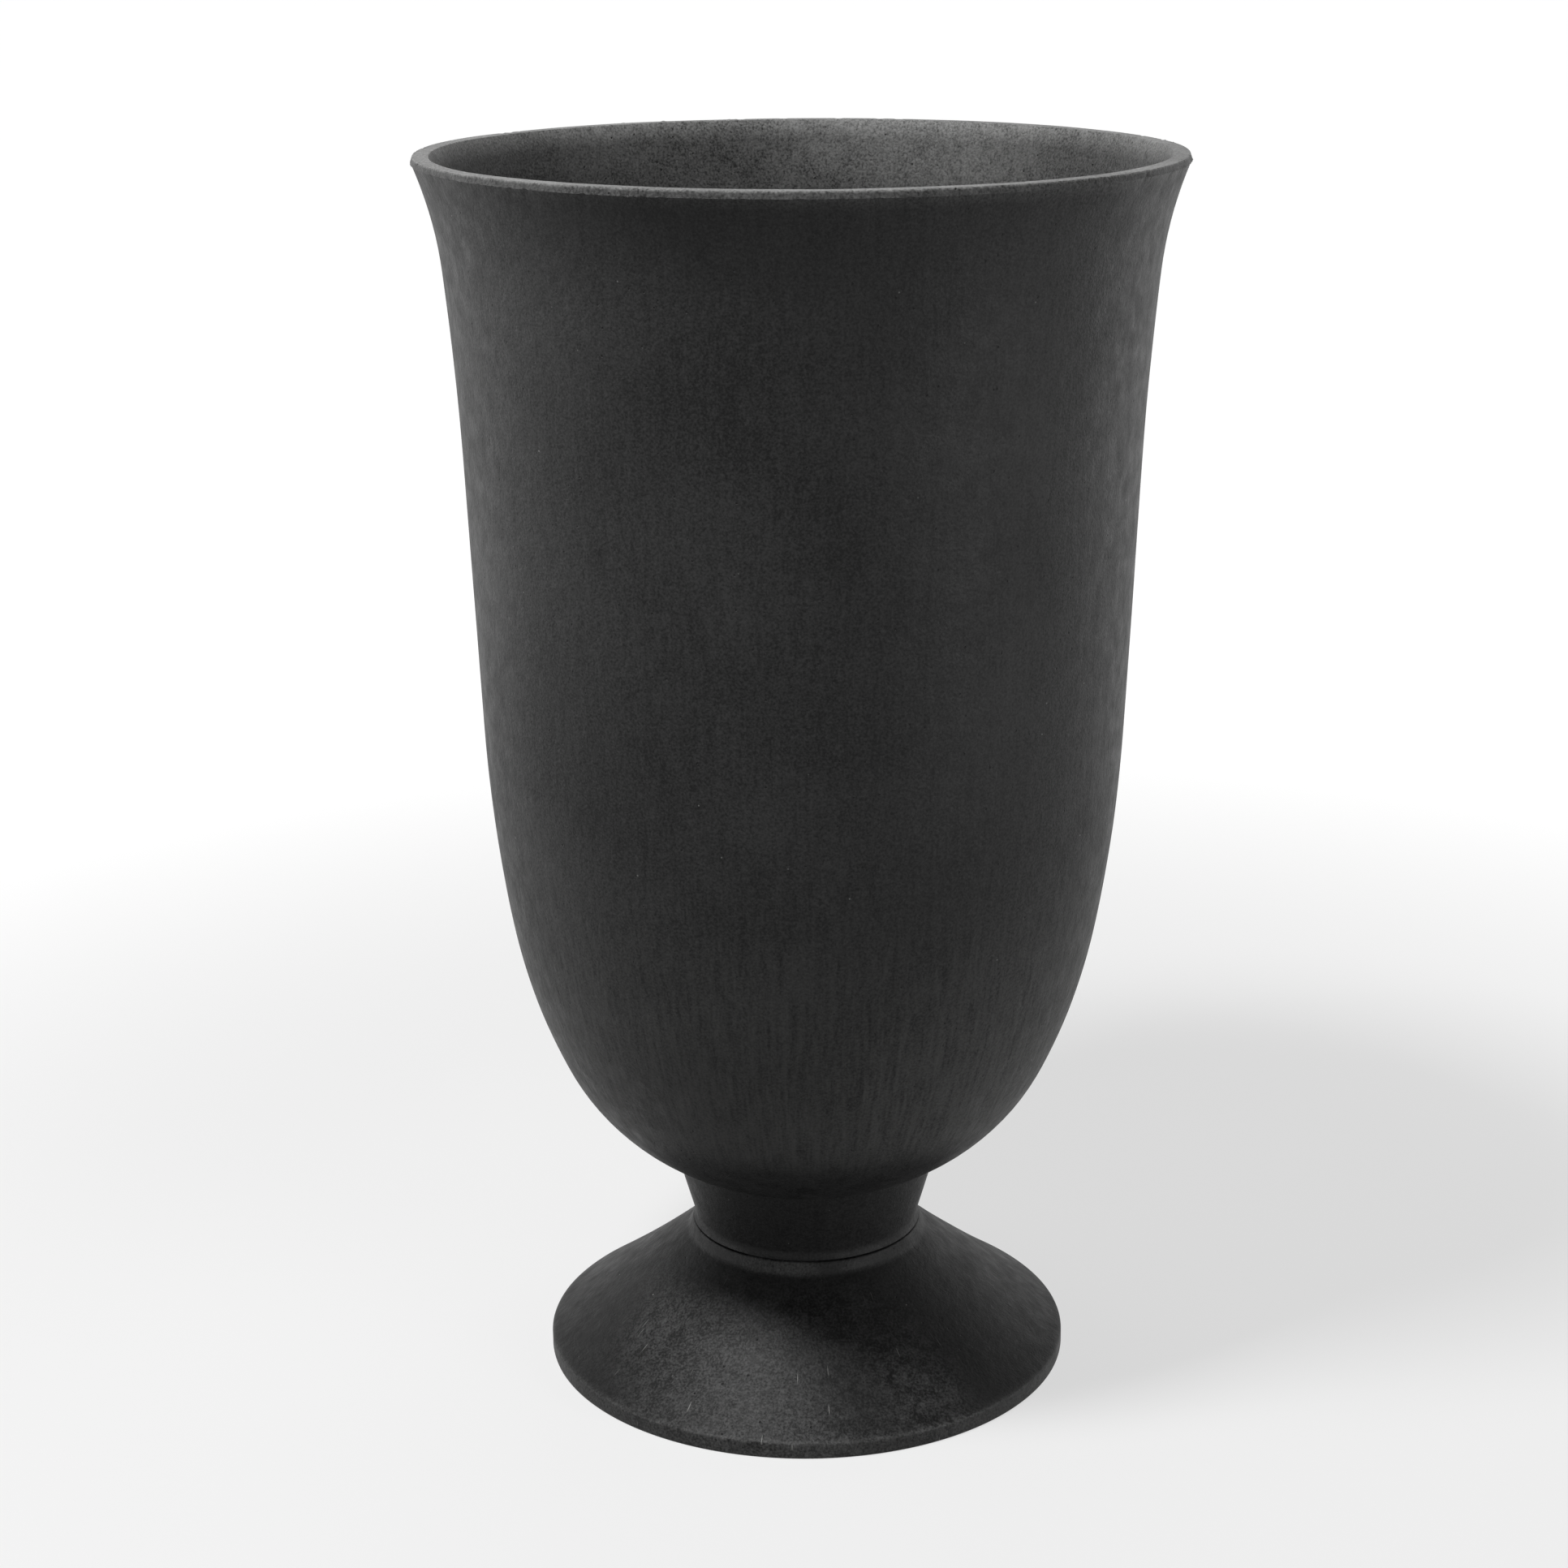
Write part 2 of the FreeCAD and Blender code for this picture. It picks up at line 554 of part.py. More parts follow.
def make_bolt():
    body = new_body("tie_bolt")
    tip_level = f"{NUT_SEAT} - Dims.nut_height - Dims.nut_collar_height - Dims.bolt_tip_proud"
    head = new_sketch(body, "bolt_head_hexagon", "XY_Plane", HEAD_SEAT)
    add_hexagon(head, "Dims.hex_across_flats")
    add_feature(body, "Pad", "bolt_head", head, Length="Dims.bolt_head_height")
    bevel_hexagon(body, "bolt_head_bevel", f"{HEAD_SEAT} + Dims.bolt_head_height")
    shank = new_sketch(body, "bolt_shank_circle", "XY_Plane", HEAD_SEAT)
    add_circle(shank, "0", "Dims.bolt_radius")
    add_feature(body, "Pad", "bolt_shank", shank, Length=f"{HEAD_SEAT} - ({tip_level})", Reversed=True)
    soften(body, "Chamfer", "bolt_tip", [("Dims.bolt_radius", tip_level)], "Dims.bolt_tip_chamfer")
    return body


def make_nut():
    body = new_body("lock_nut")
    hexagon = new_sketch(body, "nut_hexagon", "XY_Plane", NUT_SEAT)
    add_hexagon(hexagon, "Dims.hex_across_flats")
    add_circle(hexagon, "0", FASTENER_HOLE)
    add_feature(body, "Pad", "nut_block", hexagon, Length="Dims.nut_height", Reversed=True)
    bevel_hexagon(body, "nut_bevel", NUT_SEAT)
    collar = new_sketch(body, "nut_collar_ring", "XY_Plane", f"{NUT_SEAT} - Dims.nut_height")
    add_circle(collar, "0", "Dims.nut_collar_radius")
    add_circle(collar, "0", FASTENER_HOLE)
    add_feature(body, "Pad", "nut_collar", collar, Length="Dims.nut_collar_height", Reversed=True)
    return body


def make_washer(label, radius, thickness, level):
    """A flat ring on the bolt that lies on the given level."""
    body = new_body(label)
    ring = new_sketch(body, f"{label}_ring", "XY_Plane", level)
    add_circle(ring, "0", radius)
    add_circle(ring, "0", FASTENER_HOLE)
    add_feature(body, "Pad", f"{label}_plate", ring, Length=thickness)
    return body


# --------------------------------------------------------------------------------- drain plug

def make_plug():
    """A stopper with a flange and a pull tab, drawn about its own axis and then set over the hole."""
    body = new_body("drain_plug")
    shank_radius = "Dims.drain_radius - Dims.plug_clearance"
    flange_top = f"{FLOOR_TOP} + Dims.plug_flange_thickness"
    sketch = new_sketch(body, "plug_section", "XZ_Plane")
    plug_end = f"{FLOOR_UNDERSIDE} - Dims.plug_below_floor"
    add_corners(sketch, [
        ("0", plug_end),
        (f"{shank_radius} - Dims.plug_lead", plug_end),
        (shank_radius, f"{plug_end} + Dims.plug_lead"),
        (shank_radius, FLOOR_TOP),
        ("Dims.plug_flange_radius", FLOOR_TOP),
        ("Dims.plug_flange_radius", flange_top),
        ("0", flange_top),
    ])
    revolve(body, sketch)

    # Pull tab: upright sides under a half-round top, with a finger hole through it.
    tab = new_sketch(body, "plug_tab_outline", "XZ_Plane")
    half = "Dims.tab_width / 2"
    shoulder = f"{flange_top} + Dims.tab_height - {half}"
    edges = add_corners(tab, [
        (f"-{half}", shoulder),
        (f"-{half}", flange_top),
        (half, flange_top),
        (half, shoulder),
    ], closed=False)
    centre = Vector(0, worth(shoulder), 0)
    crown = add_arc(tab, centre, tab.getPoint(edges[-1], END), tab.getPoint(edges[0], START))
    tie(tab, "Coincident", crown, START, edges[-1], END)
    tie(tab, "Coincident", crown, END, edges[0], START)
    place(tab, (crown, CENTRE), None, shoulder)
    hole = tab.addGeometry(Part.Circle(centre, Vector(0, 0, 1), worth("Dims.tab_hole_radius")))
    tie(tab, "Coincident", hole, CENTRE, crown, CENTRE)
    fix(tab, "Dims.tab_hole_radius", "Radius", hole)
    add_feature(body, "Pad", "plug_tab", tab, Length="Dims.tab_thickness", Midplane=True)
    body.setExpression("Placement.Base.x", "Dims.drain_offset")
    doc.recompute()
    return body


# ----------------------------------------------------------------------------------- assembly

bodies = [
    make_bowl(),
    make_foot(),
    make_bolt(),
    make_washer("bowl_seal_washer", "Dims.seal_washer_radius", "Dims.seal_washer_thickness", FLOOR_TOP),
    make_washer("bowl_plate_washer", "Dims.plate_washer_radius", "Dims.plate_washer_thickness",
                f"{FLOOR_TOP} + Dims.seal_washer_thickness"),
    make_washer("foot_plate_washer", "Dims.plate_washer_radius", "Dims.plate_washer_thickness", NUT_SEAT),
    make_nut(),
    make_plug(),
]
doc.recompute()

for item in doc.Objects:
    if "Invalid" in item.State or "Error" in item.State:
        raise ValueError(f"{item.Name} failed: {item.State}")
    if item.TypeId == "Sketcher::SketchObject" and item.solve() != 0:
        raise ValueError(f"{item.Name} isn't solved")
for body in bodies:
    if body.Shape.isNull() or not body.Shape.isValid() or len(body.Shape.Solids) != 1:
        raise ValueError(f"{body.Label} isn't one sound solid")

os.makedirs("parts", exist_ok=True)
for body in bodies:
    body.Shape.exportStep(f"parts/{body.Label}.step")
    box = body.Shape.optimalBoundingBox(False, False)
    print(f"{body.Label}: {body.Shape.Volume / 1000:.1f} cm3, z {box.ZMin:.2f} to {box.ZMax:.2f}, "
          f"x {box.XMin:.2f} to {box.XMax:.2f}")
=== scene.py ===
# %% [markdown]
# # An urn planter in moulded rubber
# The urn is two round mouldings: a tall bowl with its neck, and a hollow foot. One bolt down the
# axis ties them together, and a plug closes the drain hole. This lesson builds their looks around a
# fixed frame of plain solids. Each piece is drawn in millimetres, in the frame's own place, and is
# scaled to metres at the end.

# %% Load the frame
import math
import random
from collections import namedtuple

import bmesh
import bpy
from mathutils import Matrix, Vector, kdtree, noise


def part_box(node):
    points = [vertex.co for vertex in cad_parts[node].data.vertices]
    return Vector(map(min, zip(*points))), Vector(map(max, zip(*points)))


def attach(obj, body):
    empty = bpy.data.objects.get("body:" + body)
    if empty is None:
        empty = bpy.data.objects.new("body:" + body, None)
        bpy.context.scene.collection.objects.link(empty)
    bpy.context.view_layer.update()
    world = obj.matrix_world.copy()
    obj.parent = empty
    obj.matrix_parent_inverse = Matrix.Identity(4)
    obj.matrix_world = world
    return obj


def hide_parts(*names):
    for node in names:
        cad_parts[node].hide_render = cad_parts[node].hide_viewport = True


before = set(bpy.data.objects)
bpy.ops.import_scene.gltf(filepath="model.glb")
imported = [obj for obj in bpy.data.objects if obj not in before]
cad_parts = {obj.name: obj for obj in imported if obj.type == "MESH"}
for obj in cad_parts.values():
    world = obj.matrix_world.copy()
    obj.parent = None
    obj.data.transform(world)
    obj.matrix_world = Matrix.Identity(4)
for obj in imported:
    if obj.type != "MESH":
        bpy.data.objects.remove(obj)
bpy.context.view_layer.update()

# %% [markdown]
# ## The camera
# The photograph was taken from a little above the rim with a short telephoto lens. Its lens, height
# and tilt come from the ellipses of the lip, the seam and the foot. The urn stands a little right of
# the middle, so the lens is shifted sideways by that much, and the camera is rolled a quarter of a
# degree, as the real one was.

# %% Camera
LENS_MM = 69.18
CAMERA_BACK = 1.602
CAMERA_HEIGHT = 0.8304
CAMERA_PITCH = math.radians(17.114)
CAMERA_ROLL = math.radians(-0.275)
LENS_SHIFT = -0.01297

camera = bpy.data.objects.new("camera", bpy.data.cameras.new("camera"))
camera.data.lens = LENS_MM
camera.data.shift_x = LENS_SHIFT
tilt = Matrix.Rotation(math.radians(90) - CAMERA_PITCH, 4, "X") @ Matrix.Rotation(CAMERA_ROLL, 4, "Z")
camera.matrix_world = Matrix.Translation((0, -CAMERA_BACK, CAMERA_HEIGHT)) @ tilt
bpy.context.scene.collection.objects.link(camera)
bpy.context.scene.camera = camera
print(f"camera {CAMERA_BACK * 1000:.0f} mm from the axis, {math.degrees(CAMERA_PITCH):.1f} degrees down")

# %% [markdown]
# ## A pen for half sections
# A round moulding can be built by stacking rings, by bending a grid or by turning a half section
# about the axis. The last is how its pattern is made on a lathe, and it keeps true arcs, so it is
# used here. The pen has two strokes. `extrude_vert_indiv` pulls a straight edge out of the last
# point, and `spin` about the Y axis sweeps an arc from it.

# %% Pen strokes
MM = 0.001
SECTION_NORMAL = Vector((0, 1, 0))
SAME_SPOT = 0.01


def at(radius, height):
    """A point of a half section, in millimetres."""
    return Vector((radius, 0, height))


def draw_line(bm, tip, end, spacing):
    """A straight stroke with points about one spacing apart. Returns its last point."""
    start = tip.co.copy()
    pulls = max(1, round((end - start).length / spacing))
    for pull in range(1, pulls + 1):
        tip = bmesh.ops.extrude_vert_indiv(bm, verts=[tip])["verts"][0]
        tip.co = start.lerp(end, pull / pulls)
    return tip


def draw_lines(bm, tip, ends, spacing):
    """Straight strokes from one end to the next. Returns the last point."""
    for end in ends:
        tip = draw_line(bm, tip, end, spacing)
    return tip


def draw_arc(bm, tip, centre, end, spacing):
    """A stroke about a centre, the short way round to the end. Returns its last point."""
    start, stop = tip.co - centre, end - centre
    angle = math.atan2(start.cross(stop).y, start.dot(stop))
    steps = max(2, round(start.length * abs(angle) / spacing))
    swept = bmesh.ops.spin(bm, geom=[tip], cent=centre, axis=SECTION_NORMAL, angle=angle, steps=steps)
    return next(part for part in swept["geom_last"] if isinstance(part, bmesh.types.BMVert))


def round_corner(bm, spot, radius, segments):
    """Round the corner of a section at a spot to an arc of the given radius."""
    corner = min(bm.verts, key=lambda vert: (vert.co - spot).length)
    before, after = [(edge.other_vert(corner).co - corner.co).normalized() for edge in corner.link_edges]
    turn = math.pi - before.angle(after)
    bmesh.ops.bevel(bm, geom=[corner], affect="VERTICES", offset=radius * math.tan(turn / 2),
                    offset_type="OFFSET", segments=segments, profile=0.5, material=-1)


# %% [markdown]
# ## The curve of the bowl
# Seen from the side, the bowl's wall is one flowing line: a short hollow flare under the lip, a long
# and nearly straight side, and three round arcs, each tighter than the last, that bring it in to the
# neck. Each arc leaves the one before it without a corner, so only its radius and its turn are
# given. The straight side's length and the last arc's turn follow, because the curve has to end on
# the neck.

# %% The wall's joints
WALL = 9.5
SIDE_LEAN = 2.3
FLARE = (-210.0, 15.7)
SHOULDER = (-1650.0, 3.6)
BELLY = (820.0, 8.3)
HAUNCH = (318.0, 14.5)
KEEL_RADIUS = 134.0
LIP_PROUD = 0.6

bowl_low, bowl_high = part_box("bowl")
RIM_RADIUS = bowl_high.x / MM
LIP_TOP = bowl_high.z / MM
SEAM = bowl_low.z / MM
NECK_TOP = at(75.0, SEAM + 43.2)

Stretch = namedtuple("Stretch", "top bottom top_lean bottom_lean centre")


def outward(lean):
    """Unit vector out of the wall where the wall leans this many degrees from upright."""
    return at(math.cos(math.radians(lean)), -math.sin(math.radians(lean)))


def arc_below(top, lean, radius, turn):
    """The arc that leaves a point downwards. A hollow arc has a negative radius."""
    centre = top - outward(lean) * radius
    end_lean = lean + math.copysign(turn, radius)
    return Stretch(top, centre + outward(end_lean) * radius, lean, end_lean, centre)


def wall_stretches():
    """The outside of the wall from the lip down to the neck."""
    lean = SIDE_LEAN + SHOULDER[1] + FLARE[1]
    joint = at(RIM_RADIUS - LIP_PROUD, LIP_TOP - WALL * math.sin(math.radians(lean)))
    flare = arc_below(joint, lean, *FLARE)
    shoulder = arc_below(flare.bottom, flare.bottom_lean, *SHOULDER)
    belly = arc_below(shoulder.bottom, SIDE_LEAN, *BELLY)
    haunch = arc_below(belly.bottom, belly.bottom_lean, *HAUNCH)
    turned = math.radians(haunch.bottom_lean - SIDE_LEAN)
    reach = (NECK_TOP - haunch.bottom).dot(outward(SIDE_LEAN)) / KEEL_RADIUS + math.cos(turned)
    keel_turn = math.degrees(math.acos(reach) - turned)
    keel = arc_below(haunch.bottom, haunch.bottom_lean, KEEL_RADIUS, keel_turn)
    slide = NECK_TOP - keel.bottom
    side = Stretch(shoulder.bottom, shoulder.bottom + slide, SIDE_LEAN, SIDE_LEAN, None)
    lower = [arc._replace(top=arc.top + slide, bottom=arc.bottom + slide, centre=arc.centre + slide)
             for arc in (belly, haunch, keel)]
    return [flare, shoulder, side, *lower]


WALL_STRETCHES = wall_stretches()
for stretch in WALL_STRETCHES:
    print(f"wall joint at radius {stretch.top.x:.1f}, height {stretch.top.z:.1f}, "
          f"lean {stretch.top_lean:.1f}")
print(f"wall ends at radius {WALL_STRETCHES[-1].bottom.x:.1f}, height {WALL_STRETCHES[-1].bottom.z:.1f}")


def follow_wall(bm, tip, inset, spacing):
    """Draw one face of the wall downwards from its top joint, moved in by an inset."""
    for stretch in WALL_STRETCHES:
        end = stretch.bottom - outward(stretch.bottom_lean) * inset
        if stretch.centre is None:
            tip = draw_line(bm, tip, end, spacing)
        else:
            tip = draw_arc(bm, tip, stretch.centre, end, spacing)
    return tip


# %% [markdown]
# ## The bowl's section
# The section goes once round the moulding: down the outside, over the neck and its seat on the foot,
# up through the hollow neck, across the floor, and up the inside to the lip. The lip is the wall's
# own end, cut level on top, with a narrow upright edge that leans in a little. Points lie closer
# together at the lip, where the eye looks for nicks.

# %% Draw the bowl's section
OUTSIDE_SPACING = 6.5
INSIDE_SPACING = 11.0
LIP_SPACING = 1.1
NECK_SPACING = 3.0
COVE_SPACING = 1.0
HIDDEN_SPACING = 12.0
LIP_INSET = 1.2
LIP_ROUND = 0.4
NECK_WAIST_RADIUS = 64.4
NECK_BASE_RADIUS = 65.3
SEAM_GAP = 0.9
SEAM_DEPTH = 2.6
COVE_HEIGHT = 5.6
SEAT_WIDTH = 7.4
SOCKET_DEPTH = 11.0
FLOOR_RISE = 6.4
FLOOR_TOP = NECK_TOP.z + FLOOR_RISE
FLOOR_THICKNESS = 12.0
FLOOR_RADIUS = 62.0
BOLT_HOLE_RADIUS = 5.5


def cove_centre(start, direction, end):
    """Centre of the arc that leaves a point along a direction and passes through an end."""
    side = Vector((-direction.z, 0, direction.x))
    chord = end - start
    return start + side * (chord.dot(chord) / 2 / chord.dot(side))


def draw_bowl_section(bm):
    """Draw the bowl's section in two runs that start at the wall's top joint, and join them."""
    top = WALL_STRETCHES[0].top
    tip = follow_wall(bm, bm.verts.new(top), 0, OUTSIDE_SPACING)
    base_level = SEAM + SEAM_GAP
    waist = at(NECK_WAIST_RADIUS, base_level + COVE_HEIGHT)
    base = at(NECK_BASE_RADIUS, base_level)
    slope = (waist - NECK_TOP).normalized()
    tip = draw_line(bm, tip, waist, NECK_SPACING)
    tip = draw_arc(bm, tip, cove_centre(waist, slope, base), base, COVE_SPACING)
    land = NECK_BASE_RADIUS - SEAM_DEPTH
    socket = land - SEAT_WIDTH
    socket_top = SEAM + SOCKET_DEPTH
    ceiling = FLOOR_TOP - FLOOR_THICKNESS
    inner_waist = waist + Vector((slope.z, 0, -slope.x)) * WALL
    inner_cone = [inner_waist + slope * ((level - inner_waist.z) / slope.z)
                  for level in (socket_top, ceiling)]
    inner_end = WALL_STRETCHES[-1].bottom - outward(WALL_STRETCHES[-1].bottom_lean) * WALL
    draw_lines(bm, tip, (
        at(land, base_level), at(land, SEAM), at(socket, SEAM), at(socket, socket_top), *inner_cone,
        at(BOLT_HOLE_RADIUS, ceiling), at(BOLT_HOLE_RADIUS, FLOOR_TOP), at(FLOOR_RADIUS, FLOOR_TOP),
        inner_end), HIDDEN_SPACING)

    rim = at(RIM_RADIUS, top.z)
    brow = at(RIM_RADIUS - LIP_INSET, LIP_TOP)
    inner_top = top - outward(WALL_STRETCHES[0].top_lean) * WALL
    tip = draw_lines(bm, bm.verts.new(top), (rim, brow, inner_top), LIP_SPACING)
    follow_wall(bm, tip, WALL, INSIDE_SPACING)
    bmesh.ops.remove_doubles(bm, verts=bm.verts, dist=SAME_SPOT)
    round_corner(bm, brow, LIP_ROUND, 3)
    round_corner(bm, inner_top, LIP_ROUND, 3)
    return bm


# %% [markdown]
# ## Turning a section into a moulding
# `spin` carries the section round the axis. A whole turn in hundreds of steps is slow, so one narrow
# sector is spun first, and a second spin with `use_duplicate` sets copies of it side by side, which
# `remove_doubles` joins. The faces of a spun shape can point either way, so its normals are worked
# out again.

# %% Spin a section
SECTORS = 20
STEPS_IN_SECTOR = 18
SHARP_ANGLE = math.radians(35)


def turn_section(bm, steps=STEPS_IN_SECTOR):
    """Turn a half section about the Z axis into a closed skin."""
    sector = 2 * math.pi / SECTORS
    bmesh.ops.spin(bm, geom=bm.verts[:] + bm.edges[:], axis=(0, 0, 1), angle=sector, steps=steps)
    bmesh.ops.spin(bm, geom=bm.verts[:] + bm.edges[:] + bm.faces[:], axis=(0, 0, 1),
                   angle=2 * math.pi - sector, steps=SECTORS - 1, use_duplicate=True)
    bmesh.ops.remove_doubles(bm, verts=bm.verts, dist=SAME_SPOT)
    bmesh.ops.recalc_face_normals(bm, faces=bm.faces)
    return bm


bowl_bm = turn_section(draw_bowl_section(bmesh.new()))
print(f"bowl: {len(bowl_bm.verts)} points all round")

# %% [markdown]
# ## The foot's section
# The foot is a hollow cone with a long hollow flank and an upright edge at the floor. Its crown is
# flat, carries a short ring that centres the neck, and widens into a small collar under the seam.
# Its inside runs a wall's thickness inside the flank, about the same centre.

# %% Draw the foot's section
FOOT_SPACING = 2.5
foot_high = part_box("pedestal_foot")[1]
FOOT_RADIUS = foot_high.x / MM
FOOT_EDGE_HEIGHT = 8.8
FOOT_EDGE_ROUND = 1.6
BASE_ROUND = 1.0
BASE_RING_WIDTH = 13.0
FLANK_RADIUS = 886.0
CROWN_RADIUS = 65.5
CROWN_ROUND = 1.0
COLLAR_FLARE = 2.8
COLLAR_DROP = 6.4
COLLAR_COVE = 7.0
SPIGOT_CLEARANCE = 0.3
SPIGOT_RADIUS = NECK_BASE_RADIUS - SEAM_DEPTH - SEAT_WIDTH - SPIGOT_CLEARANCE
SPIGOT_WALL = 8.0
SPIGOT_TOP = foot_high.z / MM


def draw_foot_section(bm):
    """Draw the foot's section once round, from the crown's underside and back to it."""
    crown = at(CROWN_RADIUS, SEAM)
    collar = at(CROWN_RADIUS + COLLAR_FLARE, SEAM - COLLAR_DROP)
    edge_top = at(FOOT_RADIUS, FOOT_EDGE_HEIGHT)
    base = at(FOOT_RADIUS, 0)
    chord = edge_top - collar
    above = Vector((-chord.z, 0, chord.x)).normalized()
    rise = math.sqrt(FLANK_RADIUS ** 2 - chord.length_squared / 4)
    centre = (collar + edge_top) / 2 + above * rise

    inner_radius = FLANK_RADIUS + WALL
    inner_foot = FOOT_RADIUS - BASE_RING_WIDTH
    skirt_top = at(inner_foot, centre.z - math.sqrt(inner_radius ** 2 - (inner_foot - centre.x) ** 2))
    ceiling = SEAM - WALL
    inner_crown = at(centre.x - math.sqrt(inner_radius ** 2 - (centre.z - ceiling) ** 2), ceiling)

    tip = draw_lines(bm, bm.verts.new(at(BOLT_HOLE_RADIUS, ceiling)), (
        at(BOLT_HOLE_RADIUS, SEAM), at(SPIGOT_RADIUS - SPIGOT_WALL, SEAM),
        at(SPIGOT_RADIUS - SPIGOT_WALL, SPIGOT_TOP), at(SPIGOT_RADIUS, SPIGOT_TOP),
        at(SPIGOT_RADIUS, SEAM), crown), HIDDEN_SPACING)
    tip = draw_line(bm, tip, collar, FOOT_SPACING)
    tip = draw_arc(bm, tip, centre, edge_top, FOOT_SPACING)
    tip = draw_lines(bm, tip, (base, at(inner_foot, 0), skirt_top), FOOT_SPACING)
    tip = draw_arc(bm, tip, centre, inner_crown, INSIDE_SPACING)
    draw_line(bm, tip, at(BOLT_HOLE_RADIUS, ceiling), HIDDEN_SPACING)
    bmesh.ops.remove_doubles(bm, verts=bm.verts, dist=SAME_SPOT)
    for spot, radius, segments in ((crown, CROWN_ROUND, 3), (collar, COLLAR_COVE, 6),
                                   (edge_top, FOOT_EDGE_ROUND, 4), (base, BASE_ROUND, 3)):
        round_corner(bm, spot, radius, segments)
    return bm


foot_bm = turn_section(draw_foot_section(bmesh.new()))
print(f"foot: {len(foot_bm.verts)} points all round")

# %% [markdown]
# ## The holes
# Water leaves the bowl by a hole in its floor, and the hollow foot by four holes in its crown. In the
# real mouldings pins in the mould leave these holes. A Boolean modifier cuts them here with plain
# rods, and its result is read back into the bmesh, so that no modifier stays on the piece.

# %% Cut the drain holes
DRAIN_OFFSET = 40.0
DRAIN_RADIUS = 10.0
WINDOW_CIRCLE_RADIUS = 30.0
WINDOW_RADIUS = 8.0
HOLE_SEGMENTS = 64
ROD_PROUD = 4.0


def show(bm, name):
    """Make an object of the scene from a bmesh, which is freed."""
    mesh = bpy.data.meshes.new(name)
    bm.to_mesh(mesh)
    bm.free()
    shown = bpy.data.objects.new(name, mesh)
    bpy.context.scene.collection.objects.link(shown)
    return shown


def cut_holes(bm, spots, radius, low, high):
    """Cut upright round holes at the spots of a closed skin."""
    rods = bmesh.new()
    for x, y in spots:
        bmesh.ops.create_cone(rods, cap_ends=True, segments=HOLE_SEGMENTS, radius1=radius, radius2=radius,
                              depth=high - low + 2 * ROD_PROUD,
                              matrix=Matrix.Translation((x, y, (low + high) / 2)))
    rod, blank = show(rods, "rods"), show(bm.copy(), "blank")
    cut = blank.modifiers.new("holes", "BOOLEAN")
    cut.object = rod
    result = bpy.data.meshes.new_from_object(blank.evaluated_get(bpy.context.evaluated_depsgraph_get()))
    bm.clear()
    bm.from_mesh(result)
    for mesh in (rod.data, blank.data, result):
        bpy.data.meshes.remove(mesh)
    print(f"{len(spots)} holes of radius {radius:.0f} mm cut, {len(bm.faces)} faces left")


cut_holes(bowl_bm, [(DRAIN_OFFSET, 0)], DRAIN_RADIUS, FLOOR_TOP - FLOOR_THICKNESS, FLOOR_TOP)
cut_holes(foot_bm, [(WINDOW_CIRCLE_RADIUS, 0), (0, WINDOW_CIRCLE_RADIUS), (-WINDOW_CIRCLE_RADIUS, 0),
                    (0, -WINDOW_CIRCLE_RADIUS)], WINDOW_RADIUS, SEAM - WALL, SEAM)

# %% [markdown]
# ## Faces that are not quite true
# Recycled rubber shrinks unevenly as it cools, so a real wall is never a true cone: it swells and
# sinks by a few tenths of a millimetre. A displacement modifier could do that, but it would move the
# seats and the holes too. Moving the points in code lets the hidden faces stay true.

# %% Swell the walls
SWELL = ((0.32, 110.0), (0.12, 38.0))
FADE = 14.0
TRUE_MARGIN = 2.0


def fade_in(value, start, length):
    """0 up to the start, and 1 from one length past it, with soft ends."""
    share = min(max((value - start) / length, 0.0), 1.0)
    return share * share * (3 - 2 * share)


def swell(bm, grip):
    """Move each point along its normal by smooth noise, as far as grip, 0 to 1, lets it."""
    bm.normal_update()
    for vert in bm.verts:
        push = sum(depth * noise.noise(vert.co / size) for depth, size in SWELL)
        vert.co += vert.normal * push * grip(vert.co)


def bowl_grip(spot):
    beside_floor = fade_in(spot.xy.length, FLOOR_RADIUS + TRUE_MARGIN, FADE)
    return fade_in(spot.z, NECK_TOP.z - FADE, FADE) * beside_floor


def foot_grip(spot):
    return fade_in(spot.z, 0, FADE) * (1 - fade_in(spot.z, SEAM - WALL - FADE, FADE - TRUE_MARGIN))


swell(bowl_bm, bowl_grip)
swell(foot_bm, foot_grip)
print(f"walls out of true by up to {sum(depth for depth, size in SWELL):.2f} mm")

# %% [markdown]
# ## The worn lip
# Crumbs of rubber break out of the lip's two edges and leave notches a few millimetres long, and here
# and there a crumb still stands proud. They are too large for a bump map, because they break the lip's
# outline. The faces of the lip are divided four times as finely round the rim, and each mark then
# presses the points near it in or out.

# %% Notch the lip
LIP_BAND = 4.6
LIP_CUTS = 3
MARK_SEED = 11
LIP_MARKS = 120
LOW_SHARE = 0.7
LOW_INSET = 0.3
CRUMB_SHARE = 0.3
CRUMB_REACH = (1.0, 1.8)
CRUMB_RISE = (0.2, 0.4)
NOTCH_REACH = (1.0, 3.0)
NOTCH_DEPTH = (0.2, 0.8)


def press_marks(bm, marks):
    """Press the points near each mark along their normals. A mark is a spot, a reach and a depth."""
    bm.normal_update()
    bm.verts.ensure_lookup_table()
    tree = kdtree.KDTree(len(bm.verts))
    for index, vert in enumerate(bm.verts):
        tree.insert(vert.co, index)
    tree.balance()
    for spot, reach, depth in marks:
        for _, index, distance in tree.find_range(spot, reach):
            vert = bm.verts[index]
            vert.co -= vert.normal * depth * (1 - (distance / reach) ** 2) ** 2


def around(angle, radius, height):
    """A point at an angle round the axis, in radians."""
    return Vector((radius * math.cos(angle), radius * math.sin(angle), height))


def runs_round(edge):
    """Whether an edge runs round the rim rather than across it."""
    along = (edge.verts[1].co - edge.verts[0].co).normalized()
    return abs(along.dot(edge.verts[0].co.xy.to_3d().normalized().cross(Vector((0, 0, 1))))) > 0.9


